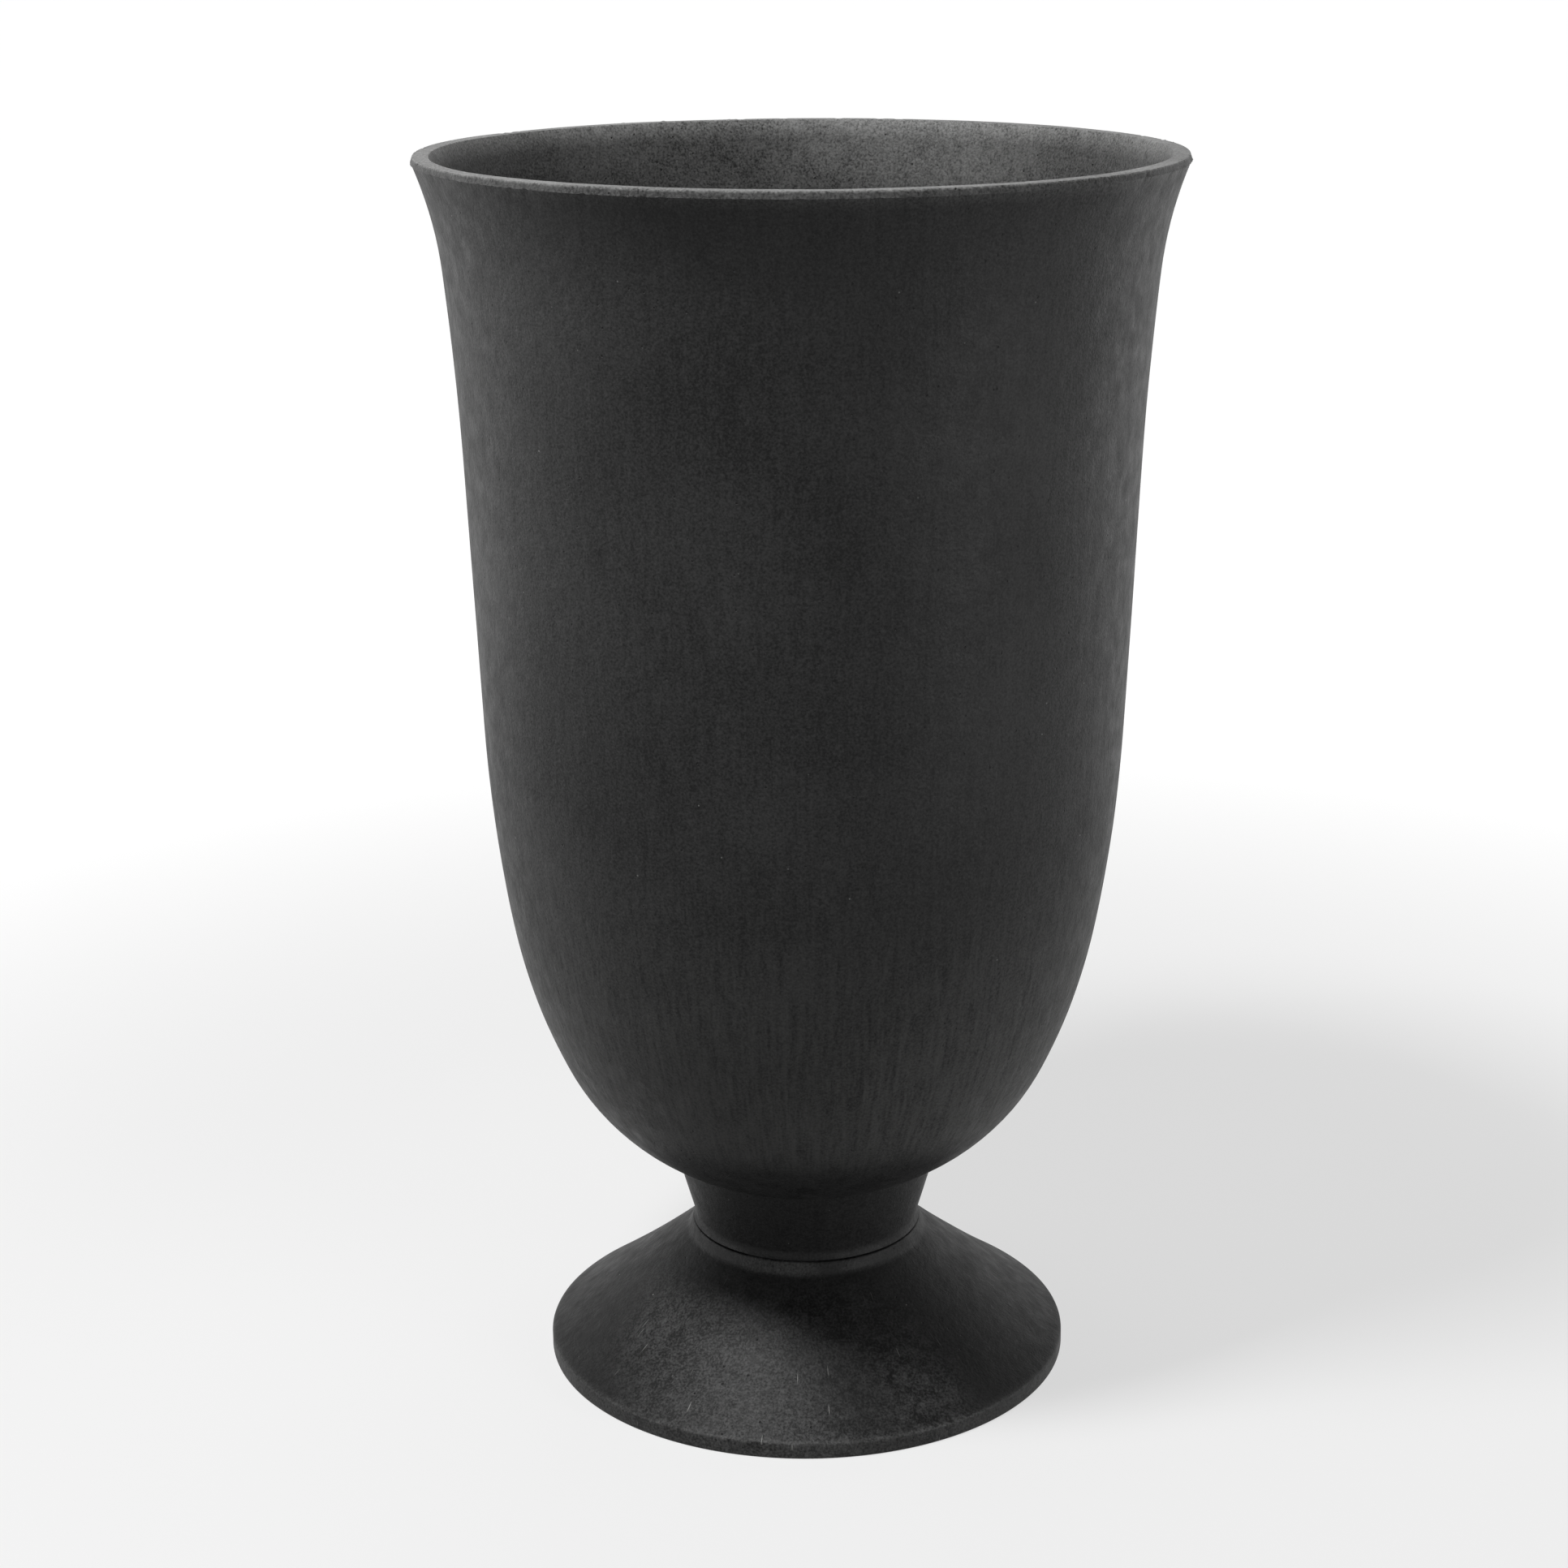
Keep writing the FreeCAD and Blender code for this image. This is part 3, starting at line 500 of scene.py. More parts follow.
lip_rounds = [edge for edge in bowl_bm.edges
              if min(vert.co.z for vert in edge.verts) > LIP_TOP - LIP_BAND and runs_round(edge)]
bmesh.ops.subdivide_edges(bowl_bm, edges=lip_rounds, cuts=LIP_CUTS, use_grid_fill=True)

chance = random.Random(MARK_SEED)
lip_foot = WALL_STRETCHES[0].top
marks = []
for _ in range(LIP_MARKS):
    angle = chance.uniform(0, 2 * math.pi)
    low = chance.random() < LOW_SHARE
    inset, height = (LOW_INSET, lip_foot.z) if low else (LIP_INSET, LIP_TOP)
    crumb = chance.random() < CRUMB_SHARE
    reach = chance.uniform(*(CRUMB_REACH if crumb else NOTCH_REACH))
    depth = -chance.uniform(*CRUMB_RISE) if crumb else chance.uniform(*NOTCH_DEPTH)
    marks.append((around(angle, RIM_RADIUS - inset, height), reach, depth))
press_marks(bowl_bm, marks)
print(f"{len(lip_rounds)} edges divided, {len(marks)} marks on the lip")

# %% [markdown]
# ## Where the skin has worn, and where light and shade are painted
# A material can only tell worn places from fresh ones if the mesh says where they are, and the same
# numbers say where light and shade are painted. Five numbers are kept at each point: one on edges that
# rub, which also paints a highlight along the lip's top; one on the inside, where the mould's chalky
# release wax stays on the skin, with painted light on the back right wall that the key lamp faces; one
# on the belly, where the mould drags, with painted light that ends where the underside turns in; one on
# the parts of the foot that shoes and hands reach, with painted light at the front left; and one for
# painted shade on the neck and the foot, which stand in the bowl's shade. They could be painted by
# hand, but here they follow from the shape, so each run is the same. Most of them grow with a height, a
# radius or a bearing, so their values are pairs for `fade_in`: where they start, and over how much they
# grow.

# %% Mark the worn places
# The lip's top carries wear and a painted highlight.
TOP_RUB = (LIP_TOP - 1.5, 1.0)
BAND_RUB = (LIP_TOP - LIP_BAND, 1.0)
BAND_SIDE = (RIM_RADIUS - 12.0, 10.0)
BAND_WEAR = 0.28
FOOT_EDGE_RUB = (FOOT_RADIUS - 3.0, 3.0)
FOOT_EDGE_WEAR = 0.22
CROWN_RUB = (SEAM - COLLAR_DROP - 2.0, 3.0)
CROWN_SIDE = (CROWN_RADIUS - 3.0, 2.0)
CROWN_WEAR = 0.4
CROWN_LEAST_WEAR = 0.1

# Painted light on the inside's back right wall: its bearing, its spread round the wall and its height.
BLOOM_BEARING = Vector((0.34, 0.94, 0))
BLOOM_RUN = (0.86, 0.14)
BLOOM_RUN_HEIGHT = (LIP_TOP - 55.0, 35.0)
BLOOM_LEAST = 0.56
BLOOM_RUB = (LIP_TOP - 14.0, 10.0)
BLOOM_RUBBED = 0.5
FACING_IN = (0.1, 0.4)

# Scuffs, and painted light from the key lamp, lie at the foot's front left.
SCUFF_BEARING = Vector((-0.25, -0.97, 0))
SCUFF_FRONT = (0.35, 0.75)
CROWN_FRONT = (0.9, 0.1)
SCUFF_PATCH_MM = 60.0
SCUFF_PATCHINESS = 0.5
SCUFF_HEIGHT = (45.0, 30.0)

# Where the painted light on the belly starts and where it ends at the underside; the painted shade under the
# bowl uses the same underside height.
BELLY_HEIGHT = (190.0, 170.0)
UNDERSIDE_HEIGHT = (150.0, 22.0)
# Painted shade: how far the foot and the neck under the bowl are pulled towards the dark charcoal.
FOOT_SHADED = 0.75
NECK_SHADED = 0.45


def mark_places(bm, **rules):
    """Keep one number at each point for each rule, which is given the point."""
    bm.normal_update()
    for name, rule in rules.items():
        layer = bm.verts.layers.float.new(name)
        for vert in bm.verts:
            vert[layer] = rule(vert)


def bearing_of(vert):
    """Unit vector from the axis to a point, seen from above."""
    return Vector((vert.co.x, vert.co.y, 0)).normalized()


def lip_wear(vert):
    """The lip's top is palest, worn and with a painted highlight, and its upright edge is worn about a third
    as much.
    """
    top = fade_in(vert.co.z, *TOP_RUB)
    band = fade_in(vert.co.z, *BAND_RUB) * fade_in(vert.co.xy.length, *BAND_SIDE)
    return max(top, band * BAND_WEAR)


def foot_wear(vert):
    """The foot is rubbed along its lower edge, and its crown is paler, most of all at the front."""
    edge = fade_in(vert.co.xy.length, *FOOT_EDGE_RUB)
    crown = fade_in(vert.co.z, *CROWN_RUB) * fade_in(vert.co.xy.length, *CROWN_SIDE)
    front = fade_in(bearing_of(vert).dot(SCUFF_BEARING), *CROWN_FRONT)
    rubbed = CROWN_LEAST_WEAR + (1 - CROWN_LEAST_WEAR) * front
    return max(edge * FOOT_EDGE_WEAR, crown * rubbed * CROWN_WEAR)


def chalky(vert):
    """0 on the outside. Inside, an even chalky bloom with painted light added on the upper back right wall,
    which the key lamp faces; less near the top, where hands have rubbed the bloom off.
    """
    run = fade_in(bearing_of(vert).dot(BLOOM_BEARING), *BLOOM_RUN) * fade_in(vert.co.z, *BLOOM_RUN_HEIGHT)
    left_on = 1 - BLOOM_RUBBED * fade_in(vert.co.z, *BLOOM_RUB)
    inside = fade_in(-vert.normal.dot(bearing_of(vert)), *FACING_IN)
    return (BLOOM_LEAST + (1 - BLOOM_LEAST) * run) * left_on * inside


def foot_handled(vert):
    """Scuffs with painted light lie low on the flank, in patches, most of all at the front left, where the
    key lamp shines and people step up to the urn.
    """
    patchy = noise.noise(vert.co / SCUFF_PATCH_MM) * SCUFF_PATCHINESS
    front = bearing_of(vert).dot(SCUFF_BEARING)
    return fade_in(patchy + front, *SCUFF_FRONT) * (1 - fade_in(vert.co.z, *SCUFF_HEIGHT))


def dragged(vert):
    """Mould drag on the belly, with painted light over it that stops where the underside turns in."""
    return (1 - fade_in(vert.co.z, *BELLY_HEIGHT)) * fade_in(vert.co.z, *UNDERSIDE_HEIGHT)


# Painted shade on the neck and the bowl's underside, where the bowl's shade falls, fading out above the
# underside.
def neck_shaded(vert):
    return NECK_SHADED * (1 - fade_in(vert.co.z, *UNDERSIDE_HEIGHT))


mark_places(bowl_bm, wear=lip_wear, bloom=chalky, drawn=dragged, shaded=neck_shaded)
# The whole foot gets the same painted shade, as it stands in the bowl's shade.
mark_places(foot_bm, wear=foot_wear, handled=foot_handled, shaded=lambda vert: FOOT_SHADED)
for name, bm in (("bowl", bowl_bm), ("foot", foot_bm)):
    print(f"{name}: marked {', '.join(bm.verts.layers.float.keys())}")

# %% [markdown]
# ## Colours and nodes
# Colours are written as sRGB hex, as a colour picker gives them, and one function turns them to the
# linear values that a shader wants. One more function adds a node with its settings and its links.

# %% Colour and node helpers
def linear(code):
    """A shader colour from an sRGB hex code such as 2A2A2B."""
    shares = [int(code[place:place + 2], 16) / 255 for place in (0, 2, 4)]
    return [share / 12.92 if share <= 0.04045 else ((share + 0.055) / 1.055) ** 2.4
            for share in shares] + [1.0]


def add_node(material, kind, inputs=(), **settings):
    """Add a node, set its own settings, and give each named input a value or another node's output."""
    tree = material.node_tree
    node = tree.nodes.new(f"ShaderNode{kind}")
    for name, value in settings.items():
        setattr(node, name, value)
    for name, value in dict(inputs).items():
        if isinstance(value, bpy.types.NodeSocket):
            tree.links.new(value, node.inputs[name])
        else:
            node.inputs[name].default_value = value
    return node


def new_material(name):
    material = bpy.data.materials.new(name)
    material.use_nodes = True
    material.node_tree.nodes.clear()
    return material


# %% [markdown]
# ## Moulded recycled rubber
# The mouldings are ground tyre rubber, bound and pressed in a hot mould. The eye reads it from four
# things: a charcoal with cloudy patches, a fine grain of crumbs a little over 1 mm across, faint
# upright drag lines from the mould's draw, and a dull skin that brightens where it is seen edge on. The
# patterns are noise in Object coordinates, with each size given in millimetres, so they stay on the
# object from every side.

# %% Patterns on the rubber
CLOUD_MM = 85.0
MOTTLE_MM = 11.0
FLAKE_MM = 4.0
GRAIN_MM = 1.3
DRAG_WIDTH_MM = 2.6
DRAG_LENGTH_MM = 22.0
DRAG_RADIUS_MM = 160.0
PIT_CELL_MM = 7.0
SPECK_CELL_MM = 11.0


def per_mm(size):
    """The scale at which a texture's features are this many millimetres apart."""
    return 1 / (size * MM)


rubber = new_material("compression-moulded recycled rubber")
place = add_node(rubber, "TexCoord").outputs["Object"]
cloud, mottle, flake, grain = [
    add_node(rubber, "TexNoise", {"Vector": place, "Scale": per_mm(size), "Detail": detail,
                                  "Roughness": roughness})
    for size, detail, roughness in ((CLOUD_MM, 3.0, 0.5), (MOTTLE_MM, 3.0, 0.6), (FLAKE_MM, 3.0, 0.6),
                                    (GRAIN_MM, 2.0, 0.6))]
flat = add_node(rubber, "VectorMath", {0: place, 1: (1, 1, 0)}, operation="MULTIPLY")
bearing = add_node(rubber, "VectorMath", {0: flat.outputs[0]}, operation="NORMALIZE")
rise = add_node(rubber, "VectorMath", {0: place, 1: (0, 0, DRAG_WIDTH_MM / DRAG_LENGTH_MM)},
                operation="MULTIPLY")
around_wall = add_node(rubber, "VectorMath", {0: bearing.outputs[0], 1: (DRAG_RADIUS_MM * MM,) * 3,
                                              2: rise.outputs[0]}, operation="MULTIPLY_ADD")
drag = add_node(rubber, "TexNoise", {"Vector": around_wall.outputs[0], "Scale": per_mm(DRAG_WIDTH_MM),
                                     "Detail": 2.0, "Roughness": 0.5})
print("rubber patterns, in mm:", CLOUD_MM, MOTTLE_MM, FLAKE_MM, GRAIN_MM, DRAG_WIDTH_MM)

# %% [markdown]
# ## Pits and specks
# Trapped air leaves pin-head pits, and pale fibres from the tyres' cord show as a few light specks.
# Both are Voronoi cells: the distance from a cell's middle draws a dot, and the cell's own random
# colour decides which cells have one.

# %% Pits and specks
PIT_RADIUS_MM = 0.75
PIT_SHARE = 0.5
SPECK_RADIUS_MM = 0.6
SPECK_SHARE = 0.28
DOT_CORE = 0.4

dots = {}
for name, cell, radius, share in (("pit", PIT_CELL_MM, PIT_RADIUS_MM, PIT_SHARE),
                                  ("speck", SPECK_CELL_MM, SPECK_RADIUS_MM, SPECK_SHARE)):
    cells = add_node(rubber, "TexVoronoi", {"Vector": place, "Scale": per_mm(cell)})
    split = add_node(rubber, "SeparateColor", {"Color": cells.outputs["Color"]})
    chosen = add_node(rubber, "Math", {0: split.outputs["Red"], 1: share}, operation="LESS_THAN")
    disc = add_node(rubber, "MapRange", {"Value": cells.outputs["Distance"], "From Min": radius / cell,
                                         "From Max": radius / cell * DOT_CORE},
                    interpolation_type="SMOOTHSTEP")
    dots[name] = add_node(rubber, "Math", {0: chosen.outputs[0], 1: disc.outputs[0]},
                          operation="MULTIPLY").outputs[0]
    print(f"{name}s: one in {1 / share:.0f} cells of {cell:.0f} mm")

# %% [markdown]
# ## Scratches
# The foot has short pale scratches, where the skin is cut and its white filler shows. A scratch is
# drawn as the narrow middle of a Voronoi cell that is stretched to about 2 by 12 mm. The cells follow
# the flank downwards, leaning a little, as a shoe or a broom leaves them.

# %% Scratches
SCRATCH_WIDTH_MM = 1.8
SCRATCH_LENGTH_MM = 12.0
SCRATCH_SHARE = 0.06
SCRATCH_LEAN = 0.02
SCRATCH_CORE = (0.2, 0.06)

squeeze = SCRATCH_WIDTH_MM / SCRATCH_LENGTH_MM * DRAG_LENGTH_MM / DRAG_WIDTH_MM
slant = add_node(rubber, "Mapping", {"Vector": around_wall.outputs[0], "Rotation": (0, SCRATCH_LEAN, 0),
                                     "Scale": (1, 1, squeeze)})
strokes = add_node(rubber, "TexVoronoi", {"Vector": slant.outputs[0], "Scale": per_mm(SCRATCH_WIDTH_MM)})
stroke_kind = add_node(rubber, "SeparateColor", {"Color": strokes.outputs["Color"]})
some = add_node(rubber, "Math", {0: stroke_kind.outputs["Red"], 1: SCRATCH_SHARE}, operation="LESS_THAN")
line = add_node(rubber, "MapRange", {"Value": strokes.outputs["Distance"], "From Min": SCRATCH_CORE[0],
                                     "From Max": SCRATCH_CORE[1]})
scratch = add_node(rubber, "Math", {0: some.outputs[0], 1: line.outputs[0]}, operation="MULTIPLY")
print(f"scratches: {SCRATCH_SHARE:.0%} of cells {SCRATCH_WIDTH_MM} by {SCRATCH_LENGTH_MM} mm")

# %% [markdown]
# ## Colour of the rubber
# The patterns are added up with the weight that each has on the real skin, and the sum slides
# between a dark and a light charcoal. Painted shade on the neck and the foot, the belly's drag with
# painted light, the chalky bloom with painted light inside, the scuffs with painted light at the foot's
# front left and the worn edges with a painted highlight on the lip's top are then laid over it, each
# where the mesh says that it belongs, and the pits, the specks and the scratches come last.

# %% Colour of the rubber
TONE_PARTS = ((cloud, 0.5), (mottle, 0.2), (flake, 0.15), (grain, 1.1), (drag, 0.3))
PATCH_PARTS = ((cloud, 0.7), (mottle, 0.45), (flake, 0.3), (grain, 1.2))
DRAWN_PARTS = ((cloud, 0.3), (mottle, 0.3), (flake, 0.4), (grain, 1.0), (drag, 1.3))
SCUFF_PARTS = ((mottle, 0.6), (flake, 0.7), (grain, 1.2))
TONE_REACH = 0.22
PATCH_REACH = (-0.4, 0.45)
DRAWN_REACH = (-0.4, 0.4)
SCUFF_REACH = (-0.15, 0.6)
# RUBBER_DARK is also laid over the neck and the foot as painted shade.
RUBBER_DARK = linear("0C0C0C")
RUBBER_LIGHT = linear("363636")
# Pale: the belly's drag streaks together with painted light on the lower belly.
DRAWN = linear("4C4C4B")
# Pale: chalky bloom, and painted light on the inside's back right wall.
BLOOM = linear("6E6E6D")
# Pale: worn edges, and a painted highlight along the lip's top.
WORN = linear("8C8C8B")
# Pale: scuffs, with painted light at the foot's front left.
SCUFFED = linear("686868")
PIT = linear("0B0B0B")
SPECK = linear("7E7E7D")
SCRATCHED = linear("8C8C8A")


def add_up(material, parts):
    """The weighted sum of texture values about their middle, which is 0.5 for noise."""
    total = add_node(material, "Math", {0: 0.0, 1: 0.0}, operation="ADD")
    for part, weight in parts:
        off = add_node(material, "Math", {0: part.outputs[0], 1: -0.5}, operation="ADD")
        total = add_node(material, "Math", {0: off.outputs[0], 1: weight, 2: total.outputs[0]},
                         operation="MULTIPLY_ADD")
    return total


marks_on_skin = {name: add_node(rubber, "Attribute", attribute_name=name).outputs["Fac"]
                 for name in ("wear", "bloom", "drawn", "handled", "shaded")}
tone = add_node(rubber, "MapRange", {"Value": add_up(rubber, TONE_PARTS).outputs[0],
                                     "From Min": -TONE_REACH, "From Max": TONE_REACH})
skin_colour = add_node(rubber, "Mix", {0: tone.outputs[0], 6: RUBBER_DARK, 7: RUBBER_LIGHT},
                       data_type="RGBA")
patch, streaks, scuff = [
    add_node(rubber, "MapRange", {"Value": add_up(rubber, parts).outputs[0], "From Min": reach[0],
                                  "From Max": reach[1]})
    for parts, reach in ((PATCH_PARTS, PATCH_REACH), (DRAWN_PARTS, DRAWN_REACH),
                         (SCUFF_PARTS, SCUFF_REACH))]

# Painted shade goes down first; the layers after it mix real marks with painted light and a painted
# highlight.
covers = [(marks_on_skin["shaded"], RUBBER_DARK)]
for name, pattern, weight, colour in (("drawn", streaks, 0.85, DRAWN), ("bloom", patch, 1.0, BLOOM),
                                      ("handled", scuff, 0.6, SCUFFED), ("wear", patch, 0.9, WORN)):
    placed = add_node(rubber, "Math", {0: marks_on_skin[name], 1: pattern.outputs[0]}, operation="MULTIPLY")
    amount = add_node(rubber, "Math", {0: placed.outputs[0], 1: weight}, operation="MULTIPLY")
    covers.append((amount.outputs[0], colour))
scratched = add_node(rubber, "Math", {0: scratch.outputs[0], 1: marks_on_skin["handled"]},
                     operation="MULTIPLY")
covers += [(dots["pit"], PIT), (dots["speck"], SPECK), (scratched.outputs[0], SCRATCHED)]
for amount, colour in covers:
    skin_colour = add_node(rubber, "Mix", {0: amount, 6: skin_colour.outputs[2], 7: colour},
                           data_type="RGBA")
print(f"{len(covers)} layers over the charcoal")

# %% [markdown]
# ## Relief and gloss of the rubber
# The same patterns make the relief, so that light and colour agree. The bump's height is added up in
# millimetres, and its distance is one millimetre. The gloss is low and varies a little from one
# mottle to the next.

# %% Relief and gloss of the rubber
RELIEF_MM = ((mottle, 0.4), (flake, 0.28), (grain, 0.14), (drag, 0.06))
PIT_DEPTH_MM = 0.35
RUBBER_ROUGHNESS = {"To Min": 0.44, "To Max": 0.60}
RUBBER_SHINE = 0.16
NOISE_SPAN = {"From Min": 0.3, "From Max": 0.7}

relief = add_node(rubber, "Math", {0: dots["pit"], 1: -PIT_DEPTH_MM,
                                   2: add_up(rubber, RELIEF_MM).outputs[0]}, operation="MULTIPLY_ADD")
bump = add_node(rubber, "Bump", {"Height": relief.outputs[0], "Distance": MM, "Strength": 1.0})
gloss = add_node(rubber, "MapRange", {"Value": mottle.outputs[0], **NOISE_SPAN, **RUBBER_ROUGHNESS})
rubber_skin = add_node(rubber, "BsdfPrincipled", {
    "Base Color": skin_colour.outputs[2], "Roughness": gloss.outputs[0], "Specular IOR Level": RUBBER_SHINE,
    "Normal": bump.outputs[0]})
add_node(rubber, "OutputMaterial", {"Surface": rubber_skin.outputs["BSDF"]})
print(f"{rubber.name}: {len(rubber.node_tree.nodes)} nodes")

# %% [markdown]
# ## Patchy skins
# The steel and the soft rubber differ in their numbers but are built alike: one noise slides the
# colour and the roughness together between two ends, and a finer one makes the relief. Values that
# are the same all over go straight to the shader.

# %% Patchy skins
def patchy_skin(name, patch_mm, colours, roughness, mark_mm, mark_depth_mm, mark_detail, uniform):
    """A finish with soft patches and fine marks. The colours are hex codes."""
    material = new_material(name)
    spot = add_node(material, "TexCoord").outputs["Object"]
    patches = add_node(material, "TexNoise", {"Vector": spot, "Scale": per_mm(patch_mm), "Detail": 3.0})
    fine = add_node(material, "TexNoise", {"Vector": spot, "Scale": per_mm(mark_mm), "Detail": mark_detail})
    colour = add_node(material, "Mix", {0: patches.outputs[0], 6: linear(colours[0]), 7: linear(colours[1])},
                      data_type="RGBA")
    sheen = add_node(material, "MapRange", {"Value": patches.outputs[0], **NOISE_SPAN,
                                            "To Min": roughness[0], "To Max": roughness[1]})
    marked = add_node(material, "Bump", {"Height": fine.outputs[0], "Distance": mark_depth_mm * MM})
    skin = add_node(material, "BsdfPrincipled", {"Base Color": colour.outputs[2], **uniform,
                                                 "Roughness": sheen.outputs[0], "Normal": marked.outputs[0]})
    add_node(material, "OutputMaterial", {"Surface": skin.outputs["BSDF"]})
    print(f"{material.name}: {len(material.node_tree.nodes)} nodes")
    return material


# %% [markdown]
# ## Zinc-plated steel
# The bolt, the nut and the two plate washers are steel, barrel plated with zinc. The eye sees a
# pale grey metal with a faint blue cast, dulled in soft patches where the plating took unevenly, and
# fine tumbling marks. A metal's colour is its reflection, so the patches change the roughness more
# than the colour.

# %% Zinc-plated steel
zinc = patchy_skin("barrel zinc-plated steel", patch_mm=6.0, colours=("C9CCCF", "A3A6A8"),
                   roughness=(0.28, 0.5), mark_mm=0.7, mark_depth_mm=0.03, mark_detail=1.0,
                   uniform={"Metallic": 1.0})

# %% [markdown]
# ## Soft rubber and nylon
# The plug and the seal washer are soft moulded rubber: a finer, more even skin than the urn's, nearly
# black, with a light bloom and the mould's faint spark texture. The nut's locking ring is white
# nylon, which is smooth and slightly waxy.

# %% Soft rubber and nylon
WAX_MM = 3.0
NYLON_DARK = linear("D6D4CC")
NYLON_PALE = linear("E6E4DD")
NYLON_ROUGHNESS = 0.38
NYLON_DEPTH_SHARE = 0.1

soft_rubber = patchy_skin("moulded soft rubber", patch_mm=9.0, colours=("101010", "2A2A29"),
                          roughness=(0.42, 0.58), mark_mm=0.8, mark_depth_mm=0.05, mark_detail=2.0,
                          uniform={"Specular IOR Level": 0.4})

nylon = new_material("white moulded nylon")
nylon_place = add_node(nylon, "TexCoord").outputs["Object"]
waxy = add_node(nylon, "TexNoise", {"Vector": nylon_place, "Scale": per_mm(WAX_MM), "Detail": 2.0})
nylon_colour = add_node(nylon, "Mix", {0: waxy.outputs[0], 6: NYLON_DARK, 7: NYLON_PALE},
                        data_type="RGBA")
nylon_skin = add_node(nylon, "BsdfPrincipled", {
    "Base Color": nylon_colour.outputs[2], "Roughness": NYLON_ROUGHNESS,
    "Subsurface Weight": NYLON_DEPTH_SHARE})
add_node(nylon, "OutputMaterial", {"Surface": nylon_skin.outputs["BSDF"]})
print(f"{nylon.name}: {len(nylon.node_tree.nodes)} nodes")

# %% [markdown]
# ## A hexagon with turned corners
# A bolt's head and a nut are cut from a hexagonal bar and then turned, which leaves a curved bevel
# on each corner. A bevel operator can't draw that curve. Here the turned shape comes first, wide
# enough for the corners, and `bisect_plane` cuts the six flats off it. Each cut's open loop is then
# filled.

# %% Cut the flats
ACROSS_FLATS = 17.0
HEX_HALF_TURN = math.radians(30)
FACE_INSET = 0.425
FACE_RADIUS = ACROSS_FLATS / 2 - FACE_INSET
CORNER_SPARE = 0.05
CORNER_RADIUS = ACROSS_FLATS / 2 / math.cos(HEX_HALF_TURN) + CORNER_SPARE
CORNER_DROP = (CORNER_RADIUS - FACE_RADIUS) * math.tan(math.radians(30))
BOLT_RADIUS = 5.0
FASTENER_SPACING = 2.0


def draw_path(bm, *spots, closed=False):
    """Draw straight strokes through the spots of a half section."""
    first = bm.verts.new(spots[0])
    tip = draw_lines(bm, first, spots[1:], FASTENER_SPACING)
    if closed:
        draw_line(bm, tip, first.co.copy(), FASTENER_SPACING)
        bmesh.ops.remove_doubles(bm, verts=bm.verts, dist=SAME_SPOT)


def cut_flats(bm):
    """Cut six flats, with two of them facing along Y, from a turned skin."""
    for turn in range(6):
        out = around(HEX_HALF_TURN * (1 + 2 * turn), 1, 0)
        cut = bmesh.ops.bisect_plane(bm, geom=bm.verts[:] + bm.edges[:] + bm.faces[:],
                                     plane_co=out * ACROSS_FLATS / 2, plane_no=out, clear_outer=True)
        rim = [part for part in cut["geom_cut"] if isinstance(part, bmesh.types.BMEdge)]
        bmesh.ops.edgeloop_fill(bm, edges=rim)
    bmesh.ops.recalc_face_normals(bm, faces=bm.faces)


# %% [markdown]
# ## The tie bolt
# An M10 hexagon bolt holds the two mouldings together. Its last 34 mm are threaded. A thread is a
# tooth swept round and down at the same time, which `spin` does when it is given a step along the
# axis as well. The smooth shank is turned with the head.

# %% Tie bolt
SEAL_THICKNESS = 3.0
PLATE_THICKNESS = 2.5
HEAD_SEAT = FLOOR_TOP + SEAL_THICKNESS + PLATE_THICKNESS
HEAD_HEIGHT = 6.4
NUT_SEAT = SEAM - WALL - PLATE_THICKNESS
NUT_HEIGHT = 8.0
NUT_COLLAR_HEIGHT = 2.4
BOLT_PROUD = 3.6
BOLT_TIP = NUT_SEAT - NUT_HEIGHT - NUT_COLLAR_HEIGHT - BOLT_PROUD
THREAD_LENGTH = 34.0
THREAD_TOP = BOLT_TIP + THREAD_LENGTH
THREAD_PITCH = 1.5
THREAD_DEPTH = 0.85
THREAD_ROOT = BOLT_RADIUS - THREAD_DEPTH
THREAD_STEPS = 28
THREAD_CUT_SHORT = 1.6
TOOTH_SUNK = 0.2
TOOTH_ROOT_HALF = 0.62
TOOTH_CREST_HALF = 0.08
BOLT_CHAMFER = 1.0

bolt_bm = bmesh.new()
head_top = HEAD_SEAT + HEAD_HEIGHT
draw_path(bolt_bm, at(0, head_top), at(FACE_RADIUS, head_top), at(CORNER_RADIUS, head_top - CORNER_DROP),
          at(CORNER_RADIUS, HEAD_SEAT), at(BOLT_RADIUS, HEAD_SEAT),
          at(BOLT_RADIUS, THREAD_TOP + BOLT_CHAMFER),
          at(THREAD_ROOT, THREAD_TOP), at(THREAD_ROOT, BOLT_TIP + BOLT_CHAMFER),
          at(THREAD_ROOT - BOLT_CHAMFER, BOLT_TIP), at(0, BOLT_TIP))
turn_section(bolt_bm, 4)
cut_flats(bolt_bm)

tooth = [bolt_bm.verts.new(spot) for spot in (
    at(THREAD_ROOT - TOOTH_SUNK, THREAD_TOP + TOOTH_ROOT_HALF),
    at(BOLT_RADIUS, THREAD_TOP + TOOTH_CREST_HALF),
    at(BOLT_RADIUS, THREAD_TOP - TOOTH_CREST_HALF),
    at(THREAD_ROOT - TOOTH_SUNK, THREAD_TOP - TOOTH_ROOT_HALF))]
turns = (THREAD_LENGTH - THREAD_CUT_SHORT) / THREAD_PITCH
bmesh.ops.spin(bolt_bm, geom=[bolt_bm.faces.new(tooth)], axis=(0, 0, 1), angle=2 * math.pi * turns,
               steps=round(THREAD_STEPS * turns), dvec=(0, 0, -THREAD_PITCH / THREAD_STEPS))
bmesh.ops.recalc_face_normals(bolt_bm, faces=bolt_bm.faces)
